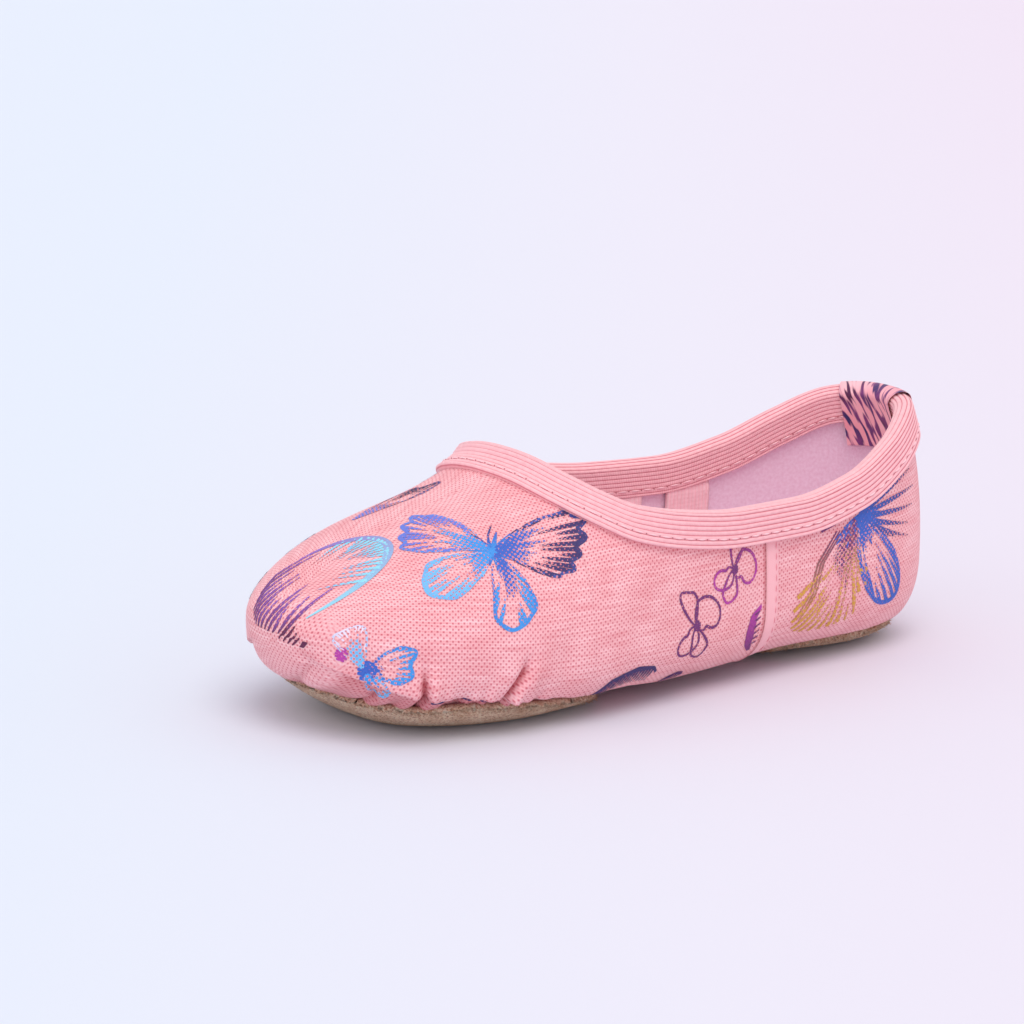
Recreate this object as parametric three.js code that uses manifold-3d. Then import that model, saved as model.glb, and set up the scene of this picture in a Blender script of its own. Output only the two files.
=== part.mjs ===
// Child's split-sole canvas ballet slipper, empty and standing on its two suede pads.
// Millimetres. +X runs from heel to toe, +Y is the left-hand side of the shoe, +Z is up.
// The origin is on the floor, midway between heel and toe. Either foot: it is straight lasted.

import * as THREE from 'three';
import { mergeVertices } from 'three/addons/utils/BufferGeometryUtils.js';
import Module from 'manifold-3d';

const wasm = await Module();
wasm.setup();

// Driving sizes
const LENGTH = 160;
const BALL_WIDTH = 63.6;
const INSTEP_HEIGHT = 50;
const HEEL_HEIGHT = 50.3;
const CLOTH = 1.5;
const VAMP_STEP = 0.4;
const SEAM_SHARE = 0.362;
const FIT_GAP = 0.3;
const SUEDE = 1.6;
const SOCK = 1.0;
const ELASTIC = 1.1;
const BINDING_WIDTH = 6.2;
const TAB_CLOTH = 0.9;
const TAB_WIDTH = 21;
const TAB_DROP = 13;
const TAB_REACH = 0.2;
const STRAP_WIDTH = 10.5;
const STRAP_CLOTH = 0.9;
const STRAP_CLEAR = 1.4;

// Powers of the rounded sections and of the plan at toe and heel
const SIDE_POWER = 2.33;
const CROWN_POWER = 2.05;
const BOTTOM_POWER = 2.7;
const TOE_POWER = 5.4;
const HEEL_POWER = 5.9;

// The last at stations along the shoe, as shares of its length from the heel, of the ball width and,
// for the underside, the widest line and the crown, of the instep height. The edge is where the cloth
// turns in over the pads: 0 at the widest line, 1 underneath
const LAST = [
  { share: 0.0, width: 0.657, under: -0.108, widest: 0.390, crown: 1.482, edge: 0.56 },
  { share: 0.12, width: 0.711, under: -0.040, widest: 0.372, crown: 1.482, edge: 0.5 },
  { share: 0.3, width: 0.767, under: 0.016, widest: 0.350, crown: 1.442, edge: 0.57 },
  { share: 0.45, width: 0.874, under: 0.004, widest: 0.320, crown: 1.378, edge: 0.62 },
  { share: 0.58, width: 0.959, under: -0.012, widest: 0.320, crown: 1.120, edge: 0.42 },
  { share: 0.66, width: 0.991, under: -0.030, widest: 0.312, crown: 0.940, edge: 0.36 },
  { share: 0.72, width: 1.000, under: -0.040, widest: 0.314, crown: 0.860, edge: 0.32 },
  { share: 0.86, width: 0.981, under: -0.026, widest: 0.356, crown: 0.760, edge: 0.27 },
  { share: 1.0, width: 0.836, under: 0.144, widest: 0.398, crown: 0.624, edge: 0.3 },
];

// The cloth's cut edge round the collar, from the back of the heel to the throat, as a share of the
// heel height
const COLLAR = [
  { share: 0.0, height: 1.000 },
  { share: 0.06, height: 0.958 },
  { share: 0.12, height: 0.867 },
  { share: 0.2, height: 0.763 },
  { share: 0.3, height: 0.710 },
  { share: 0.4, height: 0.716 },
  { share: 0.5, height: 0.753 },
  { share: 0.6, height: 0.825 },
  { share: 0.65, height: 0.885 },
  { share: 0.69, height: 1.080 },
];

// Suede pads: reach along the shoe, how square their ends are, and their grids
const FOREFOOT_PAD = { from: 0.555, to: 0.95, endPower: 3.5, rows: 18, columns: 10 };
const HEEL_PAD = { from: 0.03, to: 0.3, endPower: 4, rows: 12, columns: 8 };
const PADS = [FOREFOOT_PAD, HEEL_PAD];
const TUCK_RUN = 0.1;
const TUCK_REACH = 0.05;
const PAD_INSET = 0.04;
const PAD_MARGIN = 7;
const PAD_TIP = 1.5;
const OPENING_TOP = 9;

// Lining sock: reach along the shoe, and width as a share of the last's less an inset
const SOCK_REACH = { from: 0.04, to: 0.94 };
const SOCK_WIDTH = 0.74;
const SOCK_INSET = 2;
const SOCK_GAP = 0.4;
const SOCK_GRID = { rows: 22, columns: 8 };

// Instep elastics: ends on the far and near walls as shares of length, and layer inside
const STRAPS = [
  { name: 'instep_strap_a', far: 0.355, near: 0.25, layer: 0 },
  { name: 'instep_strap_b', far: 0.25, near: 0.355, layer: 1 },
];
const STRAP_GRID = { rows: 26, columns: 2 };

// Share of the way under at which a strap starts to climb over the sock, and at which it lies on it
const SOCK_CLIMB = 0.08;
const SOCK_TOP = 0.3;

// Stations this far each side of the seam, and none nearer to it than the clear stretch
const SEAM_PAIR = 0.001;
const SEAM_CLEAR = 0.006;

const COLOURS = {
  canvas: 0xf3a6b4,
  elastic: 0xf2a3ac,
  print: 0x8a4a7a,
  suede: 0xb08a78,
  lining: 0xe9dff0,
};

// Smooth monotone curve through one column of a table, times the size that it is a share of
function tableCurve(rows, column, size) {
  const xs = rows.map((row) => row.share);
  const ys = rows.map((row) => row[column] * size);
  const count = xs.length;
  const step = xs.slice(1).map((x, i) => x - xs[i]);
  const slope = step.map((width, i) => (ys[i + 1] - ys[i]) / width);
  const tangent = ys.map((_, i) => {
    if (i === 0) return slope[0];
    if (i === count - 1) return slope[count - 2];
    if (slope[i - 1] * slope[i] <= 0) return 0;
    const before = 2 * step[i] + step[i - 1];
    const after = step[i] + 2 * step[i - 1];
    return (before + after) / (before / slope[i - 1] + after / slope[i]);
  });
  return (share) => {
    const x = Math.min(Math.max(share, xs[0]), xs[count - 1]);
    let i = 0;
    while (i < count - 2 && x > xs[i + 1]) i += 1;
    const u = (x - xs[i]) / step[i];
    const keep = (1 + 2 * u) * (1 - u) ** 2;
    const reach = u * u * (3 - 2 * u);
    const leave = u * (1 - u) ** 2 * step[i];
    const arrive = u * u * (u - 1) * step[i];
    return keep * ys[i] + reach * ys[i + 1] + leave * tangent[i] + arrive * tangent[i + 1];
  };
}

const halfWidthAt = tableCurve(LAST, 'width', BALL_WIDTH / 2);
const underAt = tableCurve(LAST, 'under', INSTEP_HEIGHT);
const widestAt = tableCurve(LAST, 'widest', INSTEP_HEIGHT);
const crownAt = tableCurve(LAST, 'crown', INSTEP_HEIGHT);
const edgeAt = tableCurve(LAST, 'edge', 1);
const collarAt = tableCurve(COLLAR, 'height', HEEL_HEIGHT);

const clamp = (value, low, high) => Math.min(Math.max(value, low), high);

function smoothStep(from, to, value) {
  const u = clamp((value - from) / (to - from), 0, 1);
  return u * u * (3 - 2 * u);
}

const xAt = (share) => (share - 0.5) * LENGTH;
const shareAt = (x) => x / LENGTH + 0.5;

// How full the section is: 1 amidships, 0 at the very toe and heel
function fullness(share) {
  const reach = Math.abs(2 * share - 1);
  return Math.max(1 - reach ** (share > 0.5 ? TOE_POWER : HEEL_POWER), 0);
}

// Section height above or below the widest line, and its power
function verticalHalf(share, above) {
  const height = above ? crownAt(share) - widestAt(share) : widestAt(share) - underAt(share);
  return { height, power: above ? CROWN_POWER : BOTTOM_POWER };
}

// Point of the last at a share of length and an angle round the section, 0 on +Y, PI/2 at the crown
function lastPoint(share, angle) {
  const full = fullness(share);
  const { height, power } = verticalHalf(share, Math.sin(angle) >= 0);
  const across = Math.sign(Math.cos(angle)) * Math.abs(Math.cos(angle)) ** (2 / SIDE_POWER);
  const upward = Math.sign(Math.sin(angle)) * Math.abs(Math.sin(angle)) ** (2 / power);
  const y = halfWidthAt(share) * full ** (1 / SIDE_POWER) * across;
  const z = widestAt(share) + height * full ** (1 / power) * upward;
  return new THREE.Vector3(xAt(share), y, Math.max(z, 0));
}

// The last's surface is where this is 0: side and height powers add up to the fullness
function lastField(x, y, z) {
  const share = clamp(shareAt(x), 0, 1);
  const { height, power } = verticalHalf(share, z >= widestAt(share));
  const side = (Math.abs(y) / halfWidthAt(share)) ** SIDE_POWER;
  const rise = (Math.abs(z - widestAt(share)) / height) ** power;
  const reach = Math.abs(2 * shareAt(x) - 1) ** (x > 0 ? TOE_POWER : HEEL_POWER);
  return side + rise + reach - 1;
}

// Outward normal of the last, from the slope of its field; straight down on the flat spots
function lastNormal(point) {
  const { x, y, z } = point;
  if (z <= 0) return new THREE.Vector3(0, 0, -1);
  const step = 0.05;
  return new THREE.Vector3(
    lastField(x + step, y, z) - lastField(x - step, y, z),
    lastField(x, y + step, z) - lastField(x, y - step, z),
    lastField(x, y, z + step) - lastField(x, y, z - step),
  ).normalize();
}

// Underneath, the cloth is tucked in by the thickness of the pads and their gap
function tuck(share, angle) {
  const down = Math.max(Math.asin(-Math.sin(angle)) / (Math.PI / 2), 0);
  const enter = smoothStep(HEEL_PAD.from - TUCK_REACH, HEEL_PAD.from, share);
  const leave = 1 - smoothStep(FOREFOOT_PAD.to, FOREFOOT_PAD.to + TUCK_REACH, share);
  const under = smoothStep(edgeAt(share) - TUCK_RUN, edgeAt(share), down);
  return enter * leave * under * (SUEDE + FIT_GAP);
}

// The vamp lies over the quarters, so they are a step lower behind the side seams
const quarterStep = (share) => (share < SEAM_SHARE ? VAMP_STEP : 0);

function offsetPoint(share, angle, out) {
  const point = lastPoint(share, angle);
  return point.addScaledVector(lastNormal(point), out);
}

// Stations close together at heel and toe, with a pair on the seam
function stationShares(count) {
  const shares = Array.from({ length: count }, (_, i) => (1 - Math.cos((Math.PI * (i + 1)) / (count + 1))) / 2);
  const pair = [SEAM_SHARE - SEAM_PAIR, SEAM_SHARE + SEAM_PAIR];
  const clear = shares.filter((share) => Math.abs(share - SEAM_SHARE) > SEAM_CLEAR);
  return [...clear, ...pair].sort((a, b) => a - b);
}

function meshGeometry(points, triangles) {
  const geometry = new THREE.BufferGeometry();
  geometry.setAttribute('position', new THREE.Float32BufferAttribute(points.flatMap((p) => [p.x, p.y, p.z]), 3));
  geometry.setIndex(triangles);
  return geometry;
}

// Closed form: the last moved outwards by offset(share, angle), as rings between two poles
function closedForm(offset, { stations, around }) {
  const shares = stationShares(stations);
  const points = [];
  for (const share of shares) {
    for (let j = 0; j < around; j += 1) {
      const angle = (2 * Math.PI * (j + 0.5)) / around;
      points.push(offsetPoint(share, angle, offset(share, angle)));
    }
  }
  const triangles = [];
  for (let i = 0; i + 1 < shares.length; i += 1) {
    for (let j = 0; j < around; j += 1) {
      const k = (j + 1) % around;
      const [a, b, c, d] = [i * around + j, i * around + k, (i + 1) * around + k, (i + 1) * around + j];
      triangles.push(a, b, d, b, c, d);
    }
  }
  const heel = points.length;
  points.push(offsetPoint(0, 0, offset(0, 0)), offsetPoint(1, 0, offset(1, 0)));
  const last = (shares.length - 1) * around;
  for (let j = 0; j < around; j += 1) {
    const k = (j + 1) % around;
    triangles.push(heel, k, j, heel + 1, last + j, last + k);
  }
  return toSolid(meshGeometry(points, triangles));
}

function toSolid(geometry) {
  const bare = geometry.clone();
  bare.deleteAttribute('normal');
  bare.deleteAttribute('uv');
  const merged = mergeVertices(bare, 1e-4);
  const mesh = new wasm.Mesh({
    numProp: 3,
    vertProperties: new Float32Array(merged.attributes.position.array),
    triVerts: new Uint32Array(merged.index.array),
  });
  return new wasm.Manifold(mesh);
}

function toGeometry(solid) {
  const mesh = solid.getMesh();
  const geometry = new THREE.BufferGeometry();
  geometry.setAttribute('position', new THREE.Float32BufferAttribute(mesh.vertProperties, 3));
  geometry.setIndex(Array.from(mesh.triVerts));
  return geometry;
}

// Reach of the cutting blocks, and how many steps the collar line runs on past the throat
const BLOCK = 0.9 * LENGTH;
const RUN_ON = 6;

// Block across the shoe from an outline in the side view (x, z)
function sideBlock(outline) {
  const shape = new THREE.Shape(outline.map(([x, z]) => new THREE.Vector2(x, z)));
  const geometry = new THREE.ExtrudeGeometry(shape, { depth: 2 * BLOCK, bevelEnabled: false });
  geometry.rotateX(Math.PI / 2).translate(0, BLOCK, 0);
  return toSolid(geometry);
}

// Upright block from an outline in plan (x, y)
function planBlock(outline, low, high) {
  const shape = new THREE.Shape(outline.map(([x, y]) => new THREE.Vector2(x, y)));
  const geometry = new THREE.ExtrudeGeometry(shape, { depth: high - low, bevelEnabled: false });
  geometry.translate(0, 0, low);
  return toSolid(geometry);
}

// Collar line in the side view, moved square to itself (up is positive) and run on past both ends
function collarLine(rise) {
  const rows = 20;
  const step = 0.002;
  const reach = COLLAR[COLLAR.length - 1].share;
  const line = [];
  for (let i = 0; i <= rows; i += 1) {
    const share = (reach * i) / rows;
    const run = 2 * step * LENGTH;
    const climb = collarAt(share + step) - collarAt(share - step);
    const length = Math.hypot(run, climb);
    line.push([xAt(share) - (rise * climb) / length, collarAt(share) + (rise * run) / length]);
  }
  const [beforeX, beforeZ] = line[rows - 1];
  const [throatX, throatZ] = line[rows];
  const beyond = [throatX + RUN_ON * (throatX - beforeX), throatZ + RUN_ON * (throatZ - beforeZ)];
  return [[-BLOCK, line[0][1]], ...line, beyond];
}

function aboveCollar(rise) {
  const line = collarLine(rise);
  return sideBlock([...line, [line[line.length - 1][0], BLOCK], [-BLOCK, BLOCK]]);
}

// Half width of a pad in plan, out to the tuck, with rounded ends
function padHalfWidth(pad, share) {
  const full = fullness(share) ** (1 / SIDE_POWER);
  const side = Math.cos((edgeAt(share) + PAD_INSET) * (Math.PI / 2)) ** (2 / SIDE_POWER);
  const along = (2 * (share - pad.from)) / (pad.to - pad.from) - 1;
  const rounded = Math.max(1 - Math.abs(along) ** pad.endPower, 0) ** (1 / SIDE_POWER);
  return Math.max(halfWidthAt(share) * full * side * rounded, PAD_TIP);
}

// Underside of the last at a place in plan, moved outwards
function undersidePoint(share, y, out) {
  const { height, power } = verticalHalf(share, false);
  const side = (Math.abs(y) / halfWidthAt(share)) ** SIDE_POWER;
  const drop = height * Math.max(fullness(share) - side, 0) ** (1 / power);
  const point = new THREE.Vector3(xAt(share), y, Math.max(widestAt(share) - drop, 0));
  return point.addScaledVector(lastNormal(point), out);
}

// Faces of a thin closed sheet whose points are two grids, the outer face first
function sheetTriangles(rows, columns) {
  const width = columns + 1;
  const layer = (rows + 1) * width;
  const at = (face, i, j) => face * layer + i * width + j;
  const triangles = [];
  const quad = (a, b, c, d) => triangles.push(a, b, c, a, c, d);
  for (let i = 0; i < rows; i += 1) {
    for (let j = 0; j < columns; j += 1) {
      quad(at(0, i, j), at(0, i, j + 1), at(0, i + 1, j + 1), at(0, i + 1, j));
      quad(at(1, i, j), at(1, i + 1, j), at(1, i + 1, j + 1), at(1, i, j + 1));
    }
    quad(at(0, i, 0), at(0, i + 1, 0), at(1, i + 1, 0), at(1, i, 0));
    quad(at(0, i + 1, columns), at(0, i, columns), at(1, i, columns), at(1, i + 1, columns));
  }
  for (let j = 0; j < columns; j += 1) {
    quad(at(0, 0, j + 1), at(0, 0, j), at(1, 0, j), at(1, 0, j + 1));
    quad(at(0, rows, j), at(0, rows, j + 1), at(1, rows, j + 1), at(1, rows, j));
  }
  return triangles;
}

// Sheet lying under the foot between two offsets, over a reach of the shoe's length
function soleSheet({ reach, halfWidth, lower, upper, rows, columns }) {
  const points = [];
  for (const out of [lower, upper]) {
    for (let i = 0; i <= rows; i += 1) {
      const share = reach.from + ((reach.to - reach.from) * (1 - Math.cos((Math.PI * i) / rows))) / 2;
      for (let j = 0; j <= columns; j += 1) {
        const across = Math.sin((Math.PI / 2) * ((2 * j) / columns - 1));
        points.push(undersidePoint(share, halfWidth(share) * across, out(share)));
      }
    }
  }
  return meshGeometry(points, sheetTriangles(rows, columns));
}

// Grid sizes of the upper's outer and inner forms, and of the strips folded over its edge
const OUTER = { stations: 40, around: 42 };
const INNER = { stations: 40, around: 32 };
const STRIP = { stations: 40, around: 32 };

// Opening in the bottom cloth over a pad
function padOpening(pad) {
  const rows = 20;
  const near = [];
  for (let i = 0; i <= rows; i += 1) {
    const share = pad.from + ((pad.to - pad.from) * (1 - Math.cos((Math.PI * i) / rows))) / 2;
    const width = padHalfWidth(pad, share) - PAD_MARGIN;
    if (width > 1) near.push([xAt(share), width]);
  }
  const far = near.map(([x, y]) => [x, -y]).reverse();
  return planBlock([...near, ...far], -OPENING_TOP, OPENING_TOP);
}

function upperSolid() {
  const outside = closedForm((s, a) => -tuck(s, a) - quarterStep(s), OUTER);
  const inside = closedForm((s, a) => -tuck(s, a) - CLOTH, INNER);
  let upper = outside.subtract(inside).subtract(aboveCollar(0));
  for (const pad of PADS) upper = upper.subtract(padOpening(pad));
  return upper;
}

// Strip folded over the collar edge, `clear` off the cloth on both sides and above it
function foldedStrip(clear, cloth, drop) {
  const outer = closedForm(() => clear + cloth, STRIP);
  const inner = closedForm(() => -CLOTH - clear - cloth, STRIP);
  const outerLeg = closedForm(() => clear, STRIP);
  const innerLeg = closedForm(() => -CLOTH - clear, STRIP);
  const band = outer.subtract(inner).subtract(aboveCollar(clear + cloth)).intersect(aboveCollar(-drop));
  return band.subtract(outerLeg.subtract(innerLeg).subtract(aboveCollar(clear)));
}

function tabSolid() {
  const strip = foldedStrip(2 * FIT_GAP + ELASTIC, TAB_CLOTH, TAB_DROP);
  const half = TAB_WIDTH / 2;
  const front = xAt(TAB_REACH);
  return strip.intersect(planBlock([[-BLOCK, -half], [front, -half], [front, half], [-BLOCK, half]], 0, BLOCK));
}

function padGeometry(pad) {
  return soleSheet({
    reach: pad,
    halfWidth: (share) => padHalfWidth(pad, share),
    lower: () => 0,
    upper: () => -SUEDE,
    rows: pad.rows,
    columns: pad.columns,
  });
}

// Lining sock on the inside of the bottom
function sockGeometry() {
  const lower = (share) => -tuck(share, -Math.PI / 2) - CLOTH - SOCK_GAP;
  return soleSheet({
    reach: SOCK_REACH,
    halfWidth: (share) => SOCK_WIDTH * halfWidthAt(share) * fullness(share) ** (1 / SIDE_POWER) - SOCK_INSET,
    lower,
    upper: (share) => lower(share) - SOCK,
    rows: SOCK_GRID.rows,
    columns: SOCK_GRID.columns,
  });
}

// Angle round the section just under the binding's inner leg
function wallAngle(share) {
  const { height, power } = verticalHalf(share, true);
  const rise = collarAt(share) - BINDING_WIDTH - STRAP_CLEAR - widestAt(share);
  return Math.asin((rise / (height * fullness(share) ** (1 / power))) ** (power / 2));
}

// Elastic lying slack: down the far wall, over the sock and up the near wall
function strapGeometry(strap) {
  const { rows, columns } = STRAP_GRID;
  const start = Math.PI - wallAngle(strap.far);
  const finish = 2 * Math.PI + wallAngle(strap.near);
  const half = STRAP_WIDTH / 2 / LENGTH;
  const points = [];
  for (const face of [0, STRAP_CLOTH]) {
    for (let i = 0; i <= rows; i += 1) {
      const along = i / rows;
      const centre = strap.far + (strap.near - strap.far) * smoothStep(0, 1, along);
      const angle = start + (finish - start) * along;
      for (let j = 0; j <= columns; j += 1) {
        const share = centre + half * (1 - (2 * j) / columns);
        const over = smoothStep(SOCK_CLIMB, SOCK_TOP, -Math.sin(angle));
        const lift = SOCK + SOCK_GAP + FIT_GAP + strap.layer * (STRAP_CLOTH + 2 * FIT_GAP);
        const depth = tuck(share, angle) + CLOTH + FIT_GAP + over * lift + face;
        points.push(offsetPoint(share, angle, -depth));
      }
    }
  }
  return meshGeometry(points, sheetTriangles(rows, columns));
}

function namedMesh(name, geometry, colour, roughness) {
  const material = new THREE.MeshStandardMaterial({ color: colour, roughness, metalness: 0 });
  const mesh = new THREE.Mesh(geometry, material);
  mesh.name = name;
  return mesh;
}

const slipper = new THREE.Group();
slipper.add(
  namedMesh('upper', toGeometry(upperSolid()), COLOURS.canvas, 0.85),
  namedMesh('collar_binding', toGeometry(foldedStrip(FIT_GAP, ELASTIC, BINDING_WIDTH)), COLOURS.elastic, 0.7),
  namedMesh('heel_tab', toGeometry(tabSolid()), COLOURS.print, 0.8),
  namedMesh('forefoot_sole', padGeometry(FOREFOOT_PAD), COLOURS.suede, 0.95),
  namedMesh('heel_sole', padGeometry(HEEL_PAD), COLOURS.suede, 0.95),
  namedMesh('insole', sockGeometry(), COLOURS.lining, 0.9),
);
for (const strap of STRAPS) slipper.add(namedMesh(strap.name, strapGeometry(strap), COLOURS.elastic, 0.7));

export default slipper;
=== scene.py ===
import bpy
import math
import numpy as np
from mathutils import Matrix


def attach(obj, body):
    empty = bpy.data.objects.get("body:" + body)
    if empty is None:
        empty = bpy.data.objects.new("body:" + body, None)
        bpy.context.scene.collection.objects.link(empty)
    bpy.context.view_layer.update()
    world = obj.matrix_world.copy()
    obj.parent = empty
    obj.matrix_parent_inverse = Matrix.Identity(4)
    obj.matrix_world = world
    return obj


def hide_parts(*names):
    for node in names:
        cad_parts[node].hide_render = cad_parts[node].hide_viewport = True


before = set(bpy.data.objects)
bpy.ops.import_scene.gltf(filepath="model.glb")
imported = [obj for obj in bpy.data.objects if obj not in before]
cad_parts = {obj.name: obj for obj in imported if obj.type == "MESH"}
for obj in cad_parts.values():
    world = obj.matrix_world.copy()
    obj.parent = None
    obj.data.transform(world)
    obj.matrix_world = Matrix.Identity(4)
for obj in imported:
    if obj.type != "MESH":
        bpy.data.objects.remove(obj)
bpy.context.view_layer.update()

# Sizes in millimetres and shares, as in the solids, save that the cloth turns in later over the pads
MM = 0.001
LENGTH = 160.0
BALL_WIDTH = 63.6
INSTEP_HEIGHT = 50.0
HEEL_HEIGHT = 50.3
CLOTH = 1.5
VAMP_STEP = 0.4
SEAM_SHARE = 0.362
FIT_GAP = 0.3
SUEDE = 1.6
SOCK = 1.0
SOCK_GAP = 0.4
ELASTIC = 1.1
BINDING_WIDTH = 6.2
TAB_DROP = 13.0
STRAP_WIDTH = 10.5
STRAP_CLOTH = 0.9
STRAP_CLEAR = 1.4
SIDE_POWER = 2.33
CROWN_POWER = 2.05
BOTTOM_POWER = 2.7
TOE_POWER = 5.4
HEEL_POWER = 5.9
TUCK_RUN = 0.045
TUCK_REACH = 0.05
PAD_INSET = 0.04
FOREFOOT_PAD = {"from": 0.555, "to": 0.95, "end_power": 3.5}
HEEL_PAD = {"from": 0.03, "to": 0.3, "end_power": 4}
SOCK_REACH = {"from": 0.04, "to": 0.94}
SOCK_WIDTH = 0.74
SOCK_INSET = 2.0

# Camera, from the photograph's own angle to the shoe
VIEW_AZIMUTH = 37.78
VIEW_ELEVATION = 13.04
VIEW_ROLL = 0.99
VIEW_DISTANCE = 1077.4
VIEW_TARGET = (22.5, 0.0, 36.5)
VIEW_LENS = 191.5

# The last: share of length, ball width, underside, widest line and crown, and the tuck's edge
LAST = np.array([
    (0.00, 0.657, -0.108, 0.390, 1.482, 0.56),
    (0.12, 0.711, -0.040, 0.372, 1.482, 0.50),
    (0.30, 0.767, 0.016, 0.350, 1.442, 0.57),
    (0.45, 0.874, 0.004, 0.320, 1.378, 0.62),
    (0.58, 0.959, -0.012, 0.320, 1.120, 0.42),
    (0.66, 0.991, -0.030, 0.312, 0.940, 0.36),
    (0.72, 1.000, -0.040, 0.314, 0.860, 0.32),
    (0.86, 0.981, -0.026, 0.356, 0.760, 0.27),
    (1.00, 0.836, 0.144, 0.398, 0.624, 0.30),
])

# The collar's cut edge: share of length and share of the heel height
COLLAR = np.array([
    (0.00, 1.000),
    (0.06, 0.958),
    (0.12, 0.867),
    (0.20, 0.763),
    (0.30, 0.710),
    (0.40, 0.716),
    (0.50, 0.753),
    (0.60, 0.825),
    (0.65, 0.885),
    (0.69, 1.080),
])

rng = np.random.default_rng(7)


def table_curve(shares, values):
    """Smooth monotone cubic through the rows of a table, flat outside it."""
    step = np.diff(shares)
    slope = np.diff(values) / step
    tangent = np.empty_like(values)
    tangent[0], tangent[-1] = slope[0], slope[-1]
    before = 2 * step[1:] + step[:-1]
    after = step[1:] + 2 * step[:-1]
    with np.errstate(divide="ignore", invalid="ignore"):
        mean = (before + after) / (before / slope[:-1] + after / slope[1:])
    tangent[1:-1] = np.where(slope[:-1] * slope[1:] > 0, mean, 0)

    def curve(share):
        x = np.clip(share, shares[0], shares[-1])
        i = np.clip(np.searchsorted(shares, x, side="right") - 1, 0, len(step) - 1)
        u = (x - shares[i]) / step[i]
        keep = (1 + 2 * u) * (1 - u) ** 2
        reach = u * u * (3 - 2 * u)
        leave = u * (1 - u) ** 2 * step[i]
        arrive = u * u * (u - 1) * step[i]
        return keep * values[i] + reach * values[i + 1] + leave * tangent[i] + arrive * tangent[i + 1]

    return curve


half_width_at = table_curve(LAST[:, 0], LAST[:, 1] * BALL_WIDTH / 2)
under_at = table_curve(LAST[:, 0], LAST[:, 2] * INSTEP_HEIGHT)
widest_at = table_curve(LAST[:, 0], LAST[:, 3] * INSTEP_HEIGHT)
crown_at = table_curve(LAST[:, 0], LAST[:, 4] * INSTEP_HEIGHT)
edge_at = table_curve(LAST[:, 0], LAST[:, 5])
collar_at = table_curve(COLLAR[:, 0], COLLAR[:, 1] * HEEL_HEIGHT)


def smooth_step(low, high, value):
    """0 below low, 1 above high, and an S between."""
    u = np.clip((value - low) / (high - low), 0, 1)
    return u * u * (3 - 2 * u)


def bell(distance, spread):
    """1 in the middle, falling off smoothly to either side."""
    return np.exp(-((distance / spread) ** 2))


def stacked(*parts):
    """Arrays brought to one shape and set side by side along a last axis."""
    return np.stack(np.broadcast_arrays(*parts), -1)


def x_at(share):
    return (share - 0.5) * LENGTH


def share_at(x):
    return x / LENGTH + 0.5


def fullness(share):
    """1 less the distance from the middle to the toe or heel power: 0 at both ends."""
    reach = np.abs(2 * share - 1)
    return np.clip(1 - reach ** np.where(share > 0.5, TOE_POWER, HEEL_POWER), 0, 1)


def vertical_half(share, above):
    """Section height above or below the widest line, and its power."""
    height = np.where(above, crown_at(share) - widest_at(share), widest_at(share) - under_at(share))
    return height, np.where(above, CROWN_POWER, BOTTOM_POWER)


def last_point(share, angle, floor=0.0):
    """Superellipse section at a share of length; angle 0 is the +Y side and a right angle the crown."""
    share, angle = np.broadcast_arrays(np.asarray(share, float), np.asarray(angle, float))
    full = fullness(share)
    height, power = vertical_half(share, np.sin(angle) >= 0)
    across = np.sign(np.cos(angle)) * np.abs(np.cos(angle)) ** (2 / SIDE_POWER)
    upward = np.sign(np.sin(angle)) * np.abs(np.sin(angle)) ** (2 / power)
    y = half_width_at(share) * full ** (1 / SIDE_POWER) * across
    z = widest_at(share) + height * full ** (1 / power) * upward
    return np.stack([x_at(share), y, np.maximum(z, floor)], -1)


def last_field(points):
    """0 on the last: side, height and reach powers add up to 1."""
    x, y, z = np.moveaxis(points, -1, 0)
    share = np.clip(share_at(x), 0, 1)
    height, power = vertical_half(share, z >= widest_at(share))
    side = (np.abs(y) / half_width_at(share)) ** SIDE_POWER
    rise = (np.abs(z - widest_at(share)) / height) ** power
    reach = np.abs(2 * share_at(x) - 1) ** np.where(x > 0, TOE_POWER, HEEL_POWER)
    return side + rise + reach - 1


def field_slope(points):
    """Gradient of the last's field by small differences."""
    step = 0.05
    slope = np.empty_like(points)
    for axis in range(3):
        shift = np.zeros(3)
        shift[axis] = step
        slope[..., axis] = (last_field(points + shift) - last_field(points - shift)) / (2 * step)
    return slope


def unit(vectors):
    return vectors / np.maximum(np.linalg.norm(vectors, axis=-1, keepdims=True), 1e-12)


def last_normal(points):
    """Outward normal of the last, straight down where it stands flat."""
    normal = unit(field_slope(points))
    flat = points[..., 2] <= 1e-6
    normal[flat] = (0, 0, -1)
    return normal


def onto_last(points):
    """Nearest point of the last, by a few Newton steps along the field's slope."""
    for _ in range(6):
        slope = field_slope(points)
        points = points - slope * (last_field(points) / (slope ** 2).sum(-1))[..., None]
    return points


def section_angle(points):
    """Angle round the section of points on the last, from their height; far side mirrored."""
    share = share_at(points[..., 0])
    rise = points[..., 2] - widest_at(share)
    height, power = vertical_half(share, rise >= 0)
    full = np.maximum(fullness(share), 1e-9)
    part = np.clip(np.abs(rise) / (height * full ** (1 / power)), 0, 1)
    return np.sign(rise) * np.arcsin(part ** (power / 2))


def collar_angle(share):
    """Angle at which the collar cuts the section, a right angle outside the opening."""
    height, power = vertical_half(share, True)
    full = np.maximum(fullness(share), 1e-9)
    part = (collar_at(share) - widest_at(share)) / (height * full ** (1 / power))
    return np.arcsin(np.clip(part, 0, 1) ** (power / 2))


def opening_ends():
    """Shares of length where the collar meets the crown at the heel and at the throat."""
    shares = np.linspace(0.001, COLLAR[-1, 0], 20001)
    open_part = shares[collar_angle(shares) < math.pi / 2 - 1e-6]
    return open_part[0], open_part[-1]


HEEL_SHARE, THROAT_SHARE = opening_ends()


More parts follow.
